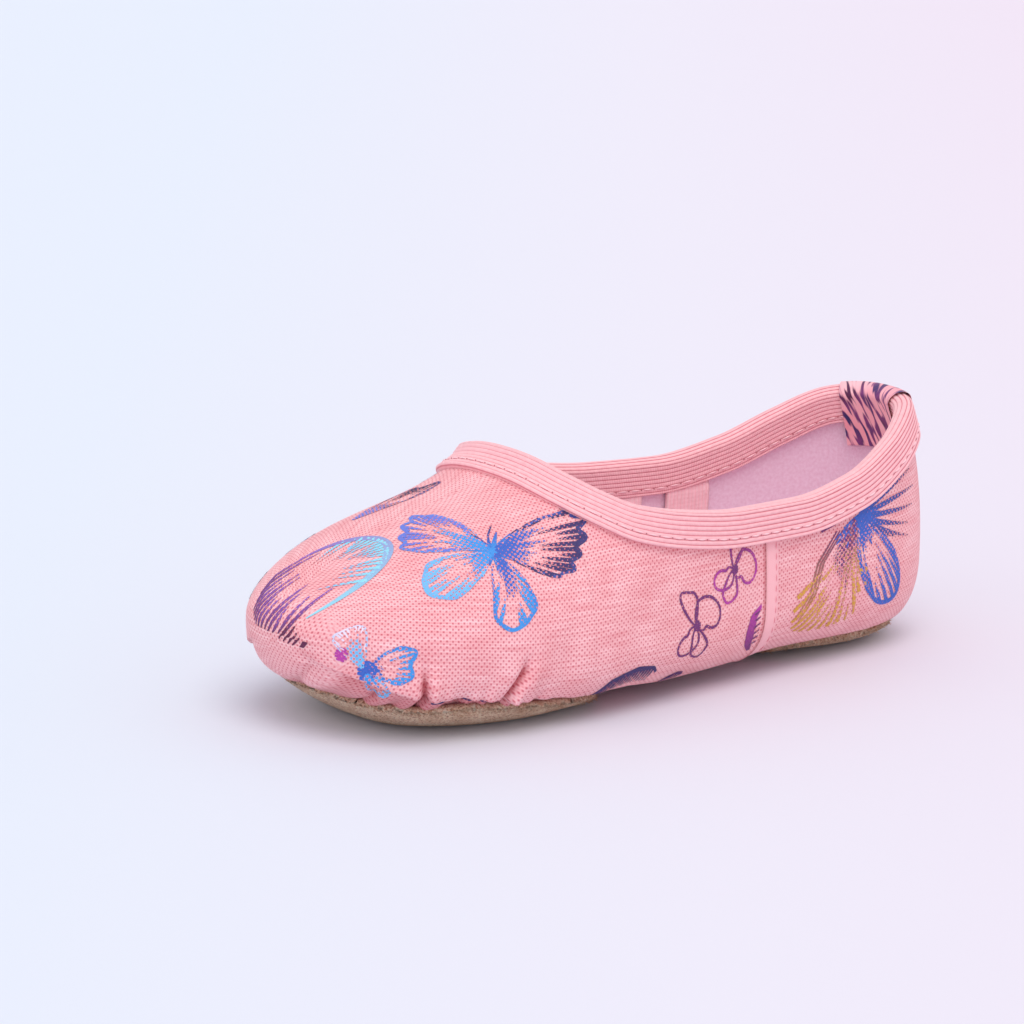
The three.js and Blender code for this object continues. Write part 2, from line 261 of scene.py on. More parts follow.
def tuck(share, angle):
    """Underneath, the cloth is tucked in by the thickness of the pads and their gap."""
    down = np.maximum(np.arcsin(-np.sin(angle)) / (math.pi / 2), 0)
    enter = smooth_step(HEEL_PAD["from"] - TUCK_REACH, HEEL_PAD["from"], share)
    leave = 1 - smooth_step(FOREFOOT_PAD["to"], FOREFOOT_PAD["to"] + TUCK_REACH, share)
    under = smooth_step(edge_at(share) - TUCK_RUN, edge_at(share), down)
    return enter * leave * under * (SUEDE + FIT_GAP)


def cosine_run(low, high, count):
    """Values from low to high, close together at both ends."""
    return low + (high - low) * (1 - np.cos(np.pi * np.linspace(0, 1, count))) / 2


def chart_tables():
    """Lengths along the meridians and round the sections of one half of the last, on a regular grid."""
    turns = np.linspace(0, 1, 500)
    angles = np.linspace(-math.pi / 2, math.pi / 2, 241)
    shares = (1 - np.cos(np.pi * turns)) / 2
    points = last_point(shares[:, None], angles[None, :], floor=-99.0)
    along = np.linalg.norm(np.diff(points, axis=0), axis=-1)
    along = np.concatenate([np.zeros((1, len(angles))), np.cumsum(along, 0)])
    along -= along[len(turns) // 2]
    around = np.linalg.norm(np.diff(points, axis=1), axis=-1)
    around = np.concatenate([np.zeros((len(turns), 1)), np.cumsum(around, 1)], axis=1)
    around -= around[:, len(angles) // 2][:, None]
    return turns, angles, along, around


CHART = chart_tables()


def cloth_chart(share, angle):
    """Millimetres along the shoe and up the section from the widest line, read from the chart."""
    turns, angles, along, around = CHART
    turn = np.arccos(np.clip(1 - 2 * share, -1, 1)) / np.pi * (len(turns) - 1)
    half = np.arcsin(np.clip(np.sin(angle), -1, 1))
    ring = (half - angles[0]) / (angles[-1] - angles[0]) * (len(angles) - 1)
    i = np.clip(turn.astype(int), 0, len(turns) - 2)
    j = np.clip(ring.astype(int), 0, len(angles) - 2)
    u, v = turn - i, ring - j

    def read(table):
        low = table[i, j] * (1 - v) + table[i, j + 1] * v
        high = table[i + 1, j] * (1 - v) + table[i + 1, j + 1] * v
        return low * (1 - u) + high * u

    return read(along), read(around)


def side_point(x, z, side):
    """Point of the last at a distance along the shoe and a height, on the +1 or -1 side."""
    share = share_at(np.asarray(x, float))
    height, power = vertical_half(share, z >= widest_at(share))
    room = fullness(share) - (np.abs(z - widest_at(share)) / height) ** power
    y = side * half_width_at(share) * np.clip(room, 0, 1) ** (1 / SIDE_POWER)
    return stacked(x, y, z)


# Creases placed one by one: side, route as (along, height), depth, half width, and lip on the heel side
CREASES = [
    (1, [(63.4, 18.0), (63.0, 13.0), (61.8, 8.5), (61.0, 3.0)], 2.2, 0.8, 0.6),
    (1, [(41.6, 17.5), (42.6, 13.5), (45.4, 8.5), (48.4, 3.0)], 2.1, 1.0, 0.5),
    (1, [(79.2, 22.0), (77.8, 15.0), (74.6, 9.5), (71.0, 4.0)], 0.8, 1.5, 0.4),
    (1, [(70.6, 13.0), (69.0, 9.0), (67.5, 3.0)], 1.4, 0.8, 0.6),
    (1, [(55.0, 12.0), (54.6, 8.0), (54.0, 3.0)], 0.8, 1.2, 0.4),
    (1, [(37.4, 10.0), (38.6, 6.0), (39.5, 2.0)], 1.0, 0.9, 0.5),
    (1, [(31.0, 24.0), (33.0, 15.0), (34.6, 5.0)], 0.5, 3.6, 0.5),
    (-1, [(71.5, 16.0), (69.5, 9.0), (67.5, 3.0)], 1.5, 0.9, 0.7),
    (-1, [(60.4, 17.0), (59.0, 10.0), (57.5, 3.0)], 1.8, 0.8, 0.8),
    (-1, [(50.4, 13.0), (49.8, 8.0), (49.0, 3.0)], 1.1, 1.1, 0.6),
    (-1, [(39.4, 17.0), (41.0, 10.0), (43.5, 3.0)], 1.6, 1.0, 0.8),
    (-1, [(75.4, 16.0), (73.6, 10.0), (71.5, 5.0)], 0.8, 1.2, 0.5),
]
CREASE_FELT = 16.0
# The swell beside a crease: place towards the heel and spread, in half widths, and weight
CREASE_LIPS = ((2.6, 2.0, 1.0), (-3.0, 2.2, 0.45))
LIP_FADE = 6.0
# Small puckers: shares of length where they begin and end, how fast, and the heights where they fade
PUCKER_REACH = (0.70, 0.94)
PUCKER_FADE = (0.05, 0.04)
PUCKER_BAND = (7.0, 15.0)
PUCKER_DEPTH = 0.2
# The swell of the toe over the suede's front rim
PUFF_START = (0.84, 0.92)
TOE_PUFF = 1.7
PUFF_HEIGHT = 10.5
PUFF_SPREAD = 3.6


def crease_relief(points):
    """Minus depth times a bell of the distance to each route, plus the swell beside it, plus puckers."""
    relief = np.zeros(points.shape[:-1])
    for side, route, depth, width, lip in CREASES:
        bends = side_point(*np.array(route).T, side)
        near = np.linalg.norm(points - bends.mean(0), axis=-1) < CREASE_FELT
        spots = points[near]
        nearest = np.full(len(spots), np.inf)
        signed, progress = np.zeros((2, len(spots)))
        for k, (start, end) in enumerate(zip(bends[:-1], bends[1:])):
            run = end - start
            part = np.clip(((spots - start) @ run) / (run @ run), 0, 1)
            offset = spots - (start + part[:, None] * run)
            away = np.linalg.norm(offset, axis=-1)
            closer = away < nearest
            nearest = np.where(closer, away, nearest)
            signed = np.where(closer, away * np.sign(offset[:, 0]), signed)
            progress = np.where(closer, (k + part) / (len(bends) - 1), progress)
        swell = sum(
            weight * bell(signed + place * width, spread * width) for place, spread, weight in CREASE_LIPS
        )
        swell *= bell(nearest, LIP_FADE * width)
        relief[near] += depth * smooth_step(0, 0.5, progress) * (lip * swell - bell(nearest, width))
    x, _, z = np.moveaxis(points, -1, 0)
    enter = smooth_step(PUCKER_REACH[0], PUCKER_REACH[0] + PUCKER_FADE[0], share_at(x))
    leave = 1 - smooth_step(PUCKER_REACH[1] - PUCKER_FADE[1], PUCKER_REACH[1], share_at(x))
    low = 1 - smooth_step(*PUCKER_BAND, z)
    wave = np.sin(x * 1.31 + 0.4) + 0.7 * np.sin(x * 2.17 + z * 0.12)
    return relief + PUCKER_DEPTH * enter * leave * low * wave


def toe_puff(points):
    """The toe's cloth swells out and down over the front rim of the suede."""
    above_suede = bell(points[..., 2] - PUFF_HEIGHT, PUFF_SPREAD)
    return TOE_PUFF * smooth_step(*PUFF_START, share_at(points[..., 0])) * above_suede


def skin_relief(points):
    """Offset of the upper's outer face from the last: creases and puff less the tuck over the pads."""
    tucked = tuck(share_at(points[..., 0]), section_angle(points))
    return crease_relief(points) + toe_puff(points) - tucked


def cloth_step(points):
    """The quarters lie a step below the vamp, which ends on the side seam."""
    return np.where(share_at(points[..., 0]) < SEAM_SHARE, VAMP_STEP, 0)


def lay_on_skin(points, out):
    """Points of the last carried out to the cloth's outer face and a little beyond."""
    lift = skin_relief(points) - cloth_step(points) + out
    return points + last_normal(points) * np.asarray(lift)[..., None]


def grid_faces(rows, columns, closed=False, joined=False):
    """Quads of a grid stored row by row; closed joins last column and first, joined the rows."""
    i = np.arange(rows if joined else rows - 1)[:, None]
    j = np.arange(columns if closed else columns - 1)[None, :]
    m, k = (i + 1) % rows, (j + 1) % columns
    return stacked(i * columns + j, i * columns + k, m * columns + k, m * columns + j).reshape(-1, 4)


def make_mesh(name, points, faces, chart=None):
    """Mesh object from whole arrays, in metres, with a UV map in millimetres where one is given."""
    mesh = bpy.data.meshes.new(name)
    points = np.asarray(points, float).reshape(-1, 3) * MM
    faces = np.asarray(faces)
    sides = faces.shape[1]
    mesh.vertices.add(len(points))
    mesh.vertices.foreach_set("co", points.astype(np.float32).ravel())
    mesh.loops.add(faces.size)
    mesh.loops.foreach_set("vertex_index", faces.astype(np.int32).ravel())
    mesh.polygons.add(len(faces))
    mesh.polygons.foreach_set("loop_start", np.arange(0, faces.size, sides, dtype=np.int32))
    mesh.polygons.foreach_set("use_smooth", np.ones(len(faces), bool))
    mesh.update(calc_edges=True)
    if chart is not None:
        layer = mesh.uv_layers.new(name="cloth")
        chart = np.asarray(chart, np.float32).reshape(-1, 2)
        layer.data.foreach_set("uv", chart[faces.ravel()].ravel())
    mesh.validate()
    piece = bpy.data.objects.new(name, mesh)
    bpy.context.scene.collection.objects.link(piece)
    return piece


def finish_piece(piece, material, slot, *nodes):
    """Material, body and the solids that the piece stands for; the slot is not used."""
    piece.data.materials.append(material)
    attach(piece, "root")
    if nodes:
        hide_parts(*nodes)


def linear_colour(hex_code):
    """sRGB hex to linear RGBA."""
    parts = [int(hex_code[i:i + 2], 16) / 255 for i in (0, 2, 4)]
    return [c / 12.92 if c <= 0.04045 else ((c + 0.055) / 1.055) ** 2.4 for c in parts] + [1.0]


def new_material(name):
    material = bpy.data.materials.new(name)
    material.use_nodes = True
    tree = material.node_tree
    return material, tree, tree.nodes["Principled BSDF"]


def feed(tree, socket, value):
    """Links an output to an input, or sets the input to a plain value."""
    if isinstance(value, bpy.types.NodeSocket):
        tree.links.new(value, socket)
    else:
        socket.default_value = value


def add_node(tree, kind, settings=None, **inputs):
    """Adds a node, sets its properties, and feeds its inputs by name or number."""
    node = tree.nodes.new(kind)
    for key, value in (settings or {}).items():
        setattr(node, key, value)
    for key, value in inputs.items():
        numbered = key[0] == "i" and key[1:].isdigit()
        feed(tree, node.inputs[int(key[1:]) if numbered else key.replace("_", " ")], value)
    return node


def math_node(tree, operation, *values):
    links = {f"i{n}": value for n, value in enumerate(values)}
    return add_node(tree, "ShaderNodeMath", {"operation": operation}, **links).outputs[0]


def noise_node(tree, vector, scale, detail, roughness=0.5):
    return add_node(tree, "ShaderNodeTexNoise", None, Vector=vector, Scale=scale, Detail=detail,
                    Roughness=roughness).outputs["Fac"]


def range_node(tree, value, low, high):
    """0 at low to 1 at high, held beyond them."""
    return add_node(tree, "ShaderNodeMapRange", None, Value=value, From_Min=low, From_Max=high).outputs[0]


def mapped(tree, vector, **settings):
    return add_node(tree, "ShaderNodeMapping", None, Vector=vector, **settings).outputs[0]


def vector_parts(tree, vector):
    return add_node(tree, "ShaderNodeSeparateXYZ", None, Vector=vector).outputs


def object_place(tree):
    return add_node(tree, "ShaderNodeTexCoord").outputs["Object"]


def ramp_node(tree, factor, stops):
    """Colour ramp through (place, hex) stops."""
    node = add_node(tree, "ShaderNodeValToRGB", None, i0=factor)
    ramp = node.color_ramp
    while len(ramp.elements) < len(stops):
        ramp.elements.new(0.5)
    for element, (place, colour) in zip(ramp.elements, stops):
        element.position = place
        element.color = linear_colour(colour)
    return node.outputs["Color"]


def patchy(tree, factor, first, second="FFFFFF"):
    """Two colours in soft patches of a noise, the second one white where it only tints."""
    return ramp_node(tree, factor, [(0.3, first), (0.7, second)])


def mix_colour(tree, factor, first, second, blend="MIX"):
    node = add_node(tree, "ShaderNodeMix", {"data_type": "RGBA", "blend_type": blend})
    for name, value in (("Factor_Float", factor), ("A_Color", first), ("B_Color", second)):
        feed(tree, next(s for s in node.inputs if s.identifier == name), value)
    return next(s for s in node.outputs if s.identifier == "Result_Color")


def tinted(tree, colour, tint):
    return mix_colour(tree, 1.0, colour, tint, "MULTIPLY")


def add_bump(tree, shader, height, strength, distance, invert=False):
    """Relief of the surface, its distance in millimetres."""
    bump = add_node(tree, "ShaderNodeBump", {"invert": invert}, Height=height, Strength=strength,
                    Distance=distance * MM)
    tree.links.new(bump.outputs["Normal"], shader.inputs["Normal"])


THREAD_PITCH = 0.6
# Weave tones from thread (0) to hole (1): the threads' own pink with a painted highlight on them, and painted
# shade darkening into the holes
THREAD_TONES_WITH_PAINTED_LIGHT = [(0.0, "F8BABF"), (0.4, "FFD6D9"), (0.62, "F9BDC2"), (0.86, "E5959F"), (1.0, "CF7782")]
END_CHART = 74.0
END_BLEND = 3.0
# Painted shade: a red tint for the bottoms of creases, the vamp's turned edge at the side seam, and the cloth
# turned in over the pads
FOLD_SHADE_COLOUR = "B8505F"
KNIT_PITCH = 0.42
TAPE_PITCH = 0.9


def cloth_uv(tree):
    return add_node(tree, "ShaderNodeUVMap", {"uv_map": "cloth"}).outputs["UV"]


def uneven(tree, vector, scale, amount):
    """The chart pushed about a little by noise, so that threads wander."""
    noise = add_node(tree, "ShaderNodeTexNoise", None, Vector=vector, Scale=scale, Detail=2.0)
    centred = add_node(tree, "ShaderNodeVectorMath", {"operation": "MULTIPLY_ADD"},
                       i0=noise.outputs["Color"], i1=(amount, amount, 0.0), i2=vector)
    return centred.outputs[0]


def weave_level(tree):
    """Plain weave in millimetres: product of two waves, 0 on a thread to 1 in a hole.

    It follows the cloth's chart, and on the very toe and heel, where that closes up, the height and width.
    """
    ends = vector_parts(tree, object_place(tree))
    reach = math_node(tree, "ABSOLUTE", ends[0])
    blend = range_node(tree, reach, END_CHART * MM, (END_CHART + END_BLEND) * MM)
    high, wide = (math_node(tree, "MULTIPLY", ends[axis], 1 / MM) for axis in (2, 1))
    end_chart = add_node(tree, "ShaderNodeCombineXYZ", None, X=high, Y=wide).outputs[0]
    levels = []
    for chart in (cloth_uv(tree), end_chart):
        parts = vector_parts(tree, uneven(tree, chart, 0.3, 0.5))
        turns = [math_node(tree, "MULTIPLY", parts[axis], math.pi / THREAD_PITCH) for axis in (0, 1)]
        waves = [math_node(tree, "COSINE", turn) for turn in turns]
        product = math_node(tree, "MULTIPLY", *waves)
        levels.append(math_node(tree, "MULTIPLY_ADD", product, 0.5, 0.5))
    apart = math_node(tree, "SUBTRACT", levels[1], levels[0])
    return math_node(tree, "MULTIPLY_ADD", apart, blend, levels[0])


def weave_colour_with_painted_light(tree, level):
    """Thread colours with a painted highlight on the threads and painted shade in the holes, uneven from
    place to place and thread to thread, and redder with painted shade deep in creases, along the seam edge
    and where the cloth turns in.
    """
    # Painted highlight on the threads and painted shade in the holes, from the weave's level
    threads = ramp_node(tree, level, THREAD_TONES_WITH_PAINTED_LIGHT)
    patches = patchy(tree, noise_node(tree, cloth_uv(tree), 0.12, 3.0), "F8EBEC")
    drawn_out = mapped(tree, cloth_uv(tree), Scale=(0.12, 1.7, 1.0))
    slubs = patchy(tree, noise_node(tree, drawn_out, 1.0, 1.0), "F3D9DC")
    woven = tinted(tree, tinted(tree, threads, patches), slubs)
    painted_fold_shade = add_node(tree, "ShaderNodeAttribute", {"attribute_name": "painted_fold_shade"}).outputs["Fac"]
    # Painted shade tinted in where the crease, seam and turn-in attribute is high
    return mix_colour(tree, painted_fold_shade, woven, tinted(tree, woven, linear_colour(FOLD_SHADE_COLOUR)))


def cloth_bump(tree, shader, level, strength=0.6):
    fuzz = noise_node(tree, cloth_uv(tree), 6.0, 4.0)
    add_bump(tree, shader, math_node(tree, "MULTIPLY_ADD", fuzz, -0.35, level), strength, 0.15, True)


def matt_cloth(tree, shader, colour, roughness=0.85, sheen=0.15):
    tree.links.new(colour, shader.inputs["Base Color"])
    shader.inputs["Roughness"].default_value = roughness
    shader.inputs["Sheen Weight"].default_value = sheen
    shader.inputs["Sheen Roughness"].default_value = 0.5
    shader.inputs["Specular IOR Level"].default_value = 0.25


def canvas_material():
    """Cotton canvas, plain weave, dyed soft pink: matt, with painted shade darkening the holes and a painted
    highlight on the threads between them.
    """
    material, tree, shader = new_material("cotton_canvas_pink")
    level = weave_level(tree)
    cloth_bump(tree, shader, level)
    matt_cloth(tree, shader, weave_colour_with_painted_light(tree, level))
    return material


def ink_material():
    """Screen-printed ink on the canvas: it lies on the thread tops and leaves the holes pink, with the
    canvas's painted shade in them.

    The colour and the cover are a vertex attribute; the weave and its threads are the canvas's own.
    """
    material, tree, shader = new_material("screen_print_ink")
    level = weave_level(tree)
    stroke = add_node(tree, "ShaderNodeAttribute", {"attribute_name": "ink"})
    rise = math_node(tree, "MULTIPLY_ADD", noise_node(tree, cloth_uv(tree), 1.6, 2.0), 0.7, level)
    cover = range_node(tree, math_node(tree, "SUBTRACT", stroke.outputs["Alpha"], rise), -0.06, 0.1)
    printed = mix_colour(tree, 0.04, stroke.outputs["Color"], weave_colour_with_painted_light(tree, level))
    cloth_bump(tree, shader, level)
    matt_cloth(tree, shader, mix_colour(tree, cover, weave_colour_with_painted_light(tree, level), printed), 0.6, 0.0)
    return material


def elastic_material(name, crest, groove_shade, pitch):
    """Ribbed knitted elastic: light crests, and painted shade in the grooves, a deeper pink, on the chart in
    millimetres.
    """
    material, tree, shader = new_material(name)
    parts = vector_parts(tree, uneven(tree, cloth_uv(tree), 0.2, 0.12))
    wave = math_node(tree, "SINE", math_node(tree, "MULTIPLY", parts[1], math.pi / pitch))
    level = math_node(tree, "POWER", math_node(tree, "ABSOLUTE", wave), 0.7)
    knit = math_node(tree, "SINE", math_node(tree, "MULTIPLY", parts[0], 2 * math.pi / KNIT_PITCH))
    # Painted shade: darker pink fills the grooves between the ribs
    ribs = ramp_node(tree, level, [(0.0, groove_shade), (0.28, groove_shade), (0.6, crest), (1.0, crest)])
    patches = patchy(tree, noise_node(tree, cloth_uv(tree), 0.9, 3.0), "F8EEF0")
    add_bump(tree, shader, math_node(tree, "MULTIPLY_ADD", knit, 0.25, level), 0.5, 0.1)
    matt_cloth(tree, shader, tinted(tree, ribs, patches), 0.75, 0.2)
    return material


def tape_material():
    """Fine slanting cotton strip at the side seams, paler and smoother than the canvas."""
    material, tree, shader = new_material("fine_cotton_strip")
    parts = vector_parts(tree, cloth_uv(tree))
    slant = math_node(tree, "MULTIPLY", math_node(tree, "ADD", parts[0], parts[1]), 2 * math.pi / TAPE_PITCH)
    level = math_node(tree, "MULTIPLY_ADD", math_node(tree, "SINE", slant), 0.5, 0.5)
    matt_cloth(tree, shader, ramp_node(tree, level, [(0.0, "F6B1B8"), (1.0, "FBC6CB")]))
    return material


def lining_material():
    """Brushed cotton lining, lilac, with a soft uneven nap."""
    material, tree, shader = new_material("brushed_lining_lilac")
    nap = noise_node(tree, cloth_uv(tree), 1.4, 5.0)
    add_bump(tree, shader, nap, 0.25, 0.2)
    matt_cloth(tree, shader, patchy(tree, nap, "F0CDE0", "FAE0F0"), 0.95, 0.3)
    return material


def suede_material():
    """Split suede, tan with brown specks and a ragged nap, with only a faint sheen."""
    material, tree, shader = new_material("split_suede_tan")
    place = object_place(tree)
    nap = noise_node(tree, place, 1900.0, 4.0, 0.8)
    base = ramp_node(tree, nap, [(0.36, "9A7058"), (0.45, "EAB996"), (0.56, "FFEBD0")])
    patches = patchy(tree, noise_node(tree, place, 260.0, 3.0), "E4D4C8")
    add_bump(tree, shader, nap, 1.0, 0.8)
    matt_cloth(tree, shader, tinted(tree, base, patches), 1.0, 0.2)
    return material


def tab_material():
    """Thin printed cotton: plum and navy brush strokes along the strip on pink, as on the upper."""
    material, tree, shader = new_material("printed_cotton_tab")
    drawn = mapped(tree, mapped(tree, cloth_uv(tree), Rotation=(0.0, 0.0, 0.45)), Scale=(0.75, 0.14, 1.0))
    where = ramp_node(tree, noise_node(tree, drawn, 1.0, 1.0), [(0.49, "000000"), (0.57, "FFFFFF")])
    hues = noise_node(tree, cloth_uv(tree), 0.11, 1.0)
    strokes = ramp_node(tree, hues, [(0.35, "3A3266"), (0.5, "7C3E78"), (0.65, "5A2C50")])
    cloth_bump(tree, shader, weave_level(tree), 0.3)
    matt_cloth(tree, shader, mix_colour(tree, where, patchy(tree, hues, "F0A0AC", "FAC2C9"), strokes))
    return material


def thread_material(name, colour):
    """Polyester sewing thread, slightly glossy."""
    material, _, shader = new_material(name)
    shader.inputs["Base Color"].default_value = linear_colour(colour)
    shader.inputs["Roughness"].default_value = 0.55
    shader.inputs["Sheen Weight"].default_value = 0.2
    return material


def upper_grid(shares, columns, thick_at=0.0):
    """Shares and angles from the near collar edge, round under the foot, to the far edge.

    Columns crowd by thick_at about the lower sides, where the pleats are.
    """
    top = collar_angle(shares)
    top = np.where((shares <= HEEL_SHARE) | (shares >= THROAT_SHARE), math.pi / 2, top)
    v = np.linspace(-1, 1, columns)
    v = v - thick_at * np.sin(2 * np.pi * v) / (2 * np.pi)
    half_turn = (top[:, None] + math.pi / 2) * np.abs(v)[None, :]
    angle = np.where(v[None, :] < 0, half_turn - math.pi / 2, -math.pi / 2 - half_turn)
    return np.broadcast_to(shares[:, None], angle.shape), angle


def mark_fold_shade(piece, base):
    """Vertex attribute of painted shade: 1 at the bottom of a crease, at the seam and where the cloth turns
    in over the pads.
    """
    turned_in = tuck(share_at(base[..., 0]), section_angle(base)) / (SUEDE + FIT_GAP)
    deep = smooth_step(0.3, 1.3, -crease_relief(base))
    behind_edge = np.exp(-(((base[..., 0] - x_at(SEAM_SHARE) - 0.15) / 0.5) ** 2))
    # Painted shade: the strongest of deep crease, seam edge and turned-in edge
    painted_fold_shade = np.maximum(np.maximum(0.75 * deep, 0.8 * behind_edge), 0.4 * smooth_step(0.6, 1.0, turned_in))
    attribute = piece.data.attributes.new("painted_fold_shade", "FLOAT", "POINT")
    attribute.data.foreach_set("value", painted_fold_shade.astype(np.float32).ravel())


def cloth_sheet(name, shares, columns, out, flip=False):
    """Sheet over the last between two shares of length, carried out by out(points)."""
    share, angle = upper_grid(shares, columns, 0.35)
    base = last_point(share, angle)
    points = base + last_normal(base) * out(base)[..., None]
    chart = np.stack(cloth_chart(share, angle), -1)
    faces = grid_faces(len(shares), columns)
    piece = make_mesh(name, points, faces[:, ::-1] if flip else faces, chart)
    mark_fold_shade(piece, base)
    return piece


SEAM_TURN = 0.006
EDGE_LIFT = 0.25
EDGE_DIP = 0.4


def make_vamp():
    """The front of the upper, turned under along the side seams where it lies on the quarters."""
    shares = np.concatenate([
        np.linspace(SEAM_SHARE, THROAT_SHARE, 100)[:-1],
        np.linspace(THROAT_SHARE, 0.97, 190)[:-1],
        0.97 + 0.03 * np.sin(np.pi / 2 * np.linspace(0, 1, 45)),
    ])
    shares = np.concatenate([SEAM_SHARE + SEAM_TURN * np.array([1.2, 0.3, 0.02]), shares])

    def out(points):
        turned = np.zeros(points.shape[:2])
        turned[0], turned[1], turned[2] = -1.3, -1.2, -0.35
        raised = EDGE_LIFT * np.exp(-(((points[..., 0] - x_at(SEAM_SHARE)) / 1.1) ** 2))
        return skin_relief(points) + turned + raised

    return cloth_sheet("canvas_vamp", shares, 297, out)


def make_quarters():
    """The back of the upper, a step lower and running on under the vamp."""
    shares = np.concatenate([
        0.06 * (1 - np.cos(np.pi / 2 * np.linspace(0, 1, 45))),
        np.linspace(0.06, SEAM_SHARE + SEAM_TURN, 150)[1:],
    ])

    def out(points):
        dip = np.exp(-(((points[..., 0] - x_at(SEAM_SHARE) + 0.25) / 0.4) ** 2))
        return skin_relief(points) - VAMP_STEP - EDGE_DIP * dip

    return cloth_sheet("canvas_quarters", shares, 261, out)


SEAM_TAPE = 4.2


def make_seam_tape():
    """Plain folded strip of the quarter's own cloth down each side seam, just behind the vamp's edge."""
    sheets = []
    for side in (1, -1):
        x = x_at(SEAM_SHARE) - np.linspace(0.45, SEAM_TAPE, 15)[:, None]
        z = np.linspace(2.0, 34.0, 90)[None, :]
        base = side_point(*np.broadcast_arrays(x, z), side)
        part = np.linspace(0, 1, 15)[:, None]
        lift = 0.22 * (1 - np.abs(2 * part - 1) ** 6) - 0.04
        points = base + last_normal(base) * (skin_relief(base) - VAMP_STEP + lift)[..., None]
        sheets.append((points, np.stack(np.broadcast_arrays(x * 1.9, z * 1.9), -1)))
    faces = grid_faces(15, 90)
    faces = np.concatenate([faces, faces[:, ::-1] + 15 * 90])
    points, chart = (np.concatenate([s[k].reshape(-1, 3 - k) for s in sheets]) for k in (0, 1))
    return make_mesh("seam_tape", points, faces, chart)


def make_lining():
    """The inner face of the upper: the last drawn in by the cloth's thickness."""
    shares = (1 - np.cos(np.pi * np.linspace(0, 1, 150))) / 2

    def out(points):
        share = share_at(points[..., 0])
        beside_sock = smooth_step(0.68, 0.78, np.abs(points[..., 1]) / half_width_at(share))
        sunk = 2.4 * smooth_step(0.6, 0.7, share) * beside_sock
        return 0.7 * skin_relief(points) - CLOTH + 0.2 - sunk

    return cloth_sheet("lining", shares, 161, out, True)


def collar_loop(spacing):
    """Closed run of the cut edge, heel to throat on the near side and back on the far side."""
    shares = cosine_run(HEEL_SHARE, THROAT_SHARE, 1500)
    near = last_point(shares, collar_angle(shares))
    near[0, 1] = near[-1, 1] = 0
    loop = np.concatenate([near, near[-2::-1] * (1, -1, 1)])
    length = np.concatenate([[0], np.cumsum(np.linalg.norm(np.diff(loop, axis=0), axis=1))])
    places = np.linspace(0, length[-1], int(length[-1] / spacing), endpoint=False)
    return np.stack([np.interp(places, length, loop[:, axis]) for axis in range(3)], -1), places, length[-1]


def even_out(rows, rounds=6):
    """Runs of points round a closed loop, smoothed along it."""
    for _ in range(rounds):
        rows = 0.25 * np.roll(rows, 1, 0) + 0.5 * rows + 0.25 * np.roll(rows, -1, 0)
    return rows


def collar_rails(edge, reach, step):
    """Marches from the edge away from the opening over the last, a step at a time."""
    run = unit(np.roll(edge, -1, 0) - np.roll(edge, 1, 0))
    rails = [edge]
    for _ in range(int(math.ceil(reach / step))):
        here = rails[-1]
        along = unit(np.roll(here, -1, 0) - np.roll(here, 1, 0))
        away = unit(np.cross(last_normal(here), along))
        ahead = even_out(onto_last(here + away * step), 1)
        rails.append(here + unit(ahead - here) * step)
    return np.stack(rails, 1), run


RAIL_STEP = 0.5
RIB_PITCH = 0.93
THROAT_STAND = 2.4
THROAT_REACH = 15.0


def stand(edge):
    """How far the binding stands up off the cut edge: most across the throat."""
    near_throat = smooth_step(x_at(THROAT_SHARE) - THROAT_REACH, x_at(THROAT_SHARE), edge[:, 0])
    return THROAT_STAND * near_throat


def folded_strip(profile, edge, rails, run, keep_flat=False):
    """Carries a profile of (distance below the edge, height off the last) round the collar."""
    normals = even_out(last_normal(rails), 2) if not keep_flat else last_normal(rails)
    up = -unit(np.cross(normals[:, 0], run))
    lift = stand(edge)
    upright = unit(up + 0.6 * (lift / THROAT_STAND)[:, None] * np.array([0, 0, 1.0]))
    columns = []
    for drop, out in profile:
        below = np.clip((drop - lift) / RAIL_STEP, 0, rails.shape[1] - 1.001)
        k = below.astype(int)
        mix = (below - k)[:, None]
        row = np.arange(len(edge))
        spot = rails[row, k] * (1 - mix) + rails[row, k + 1] * mix
        normal = unit(normals[row, k] * (1 - mix) + normals[row, k + 1] * mix)
        above = np.maximum(lift - drop, 0)[:, None]
        columns.append(spot + upright * above + normal * out)
    return np.stack(columns, 1)


def strip_profile(width, clear, cloth, rib):
    """U section and its chart: outer leg, round top and inner leg, ribbed by half waves all over."""
    legs = np.arange(width, -1e-6, -0.1)
    reach = clear + cloth + CLOTH / 2
    turn = np.linspace(0, np.pi, 24)[1:-1]
    bow = math.pi * reach * 0.8
    places = np.concatenate([-legs, turn / np.pi * bow, bow + legs[::-1]])
    wave = rib * (np.abs(np.sin(np.pi * places / RIB_PITCH)) ** 0.6 - 1)
    outer = [(d, clear + cloth + w) for d, w in zip(legs, wave)]
    over = wave[len(legs):len(legs) + len(turn)]
    top = [
        (-(clear + cloth + w) * math.sin(t), -CLOTH / 2 + (reach + w) * math.cos(t))
        for t, w in zip(turn, over)
    ]
    inner = [(d, -CLOTH - clear - cloth - 0.5 * w) for d, w in zip(legs[::-1], wave[-len(legs):])]
    low, high = clear + cloth * 0.3, clear + cloth * 0.75
    rim = [(width + 0.02, clear * 0.2), (width + 0.22, low), (width + 0.18, high)]
    back = [(d, -CLOTH - o) for d, o in rim[::-1]]
    rim_places = -width - np.array([0.9, 0.5, 0.2])
    charted = np.concatenate([rim_places, places, bow + width - rim_places[::-1] - width])
    return rim + outer + top + inner + back, charted


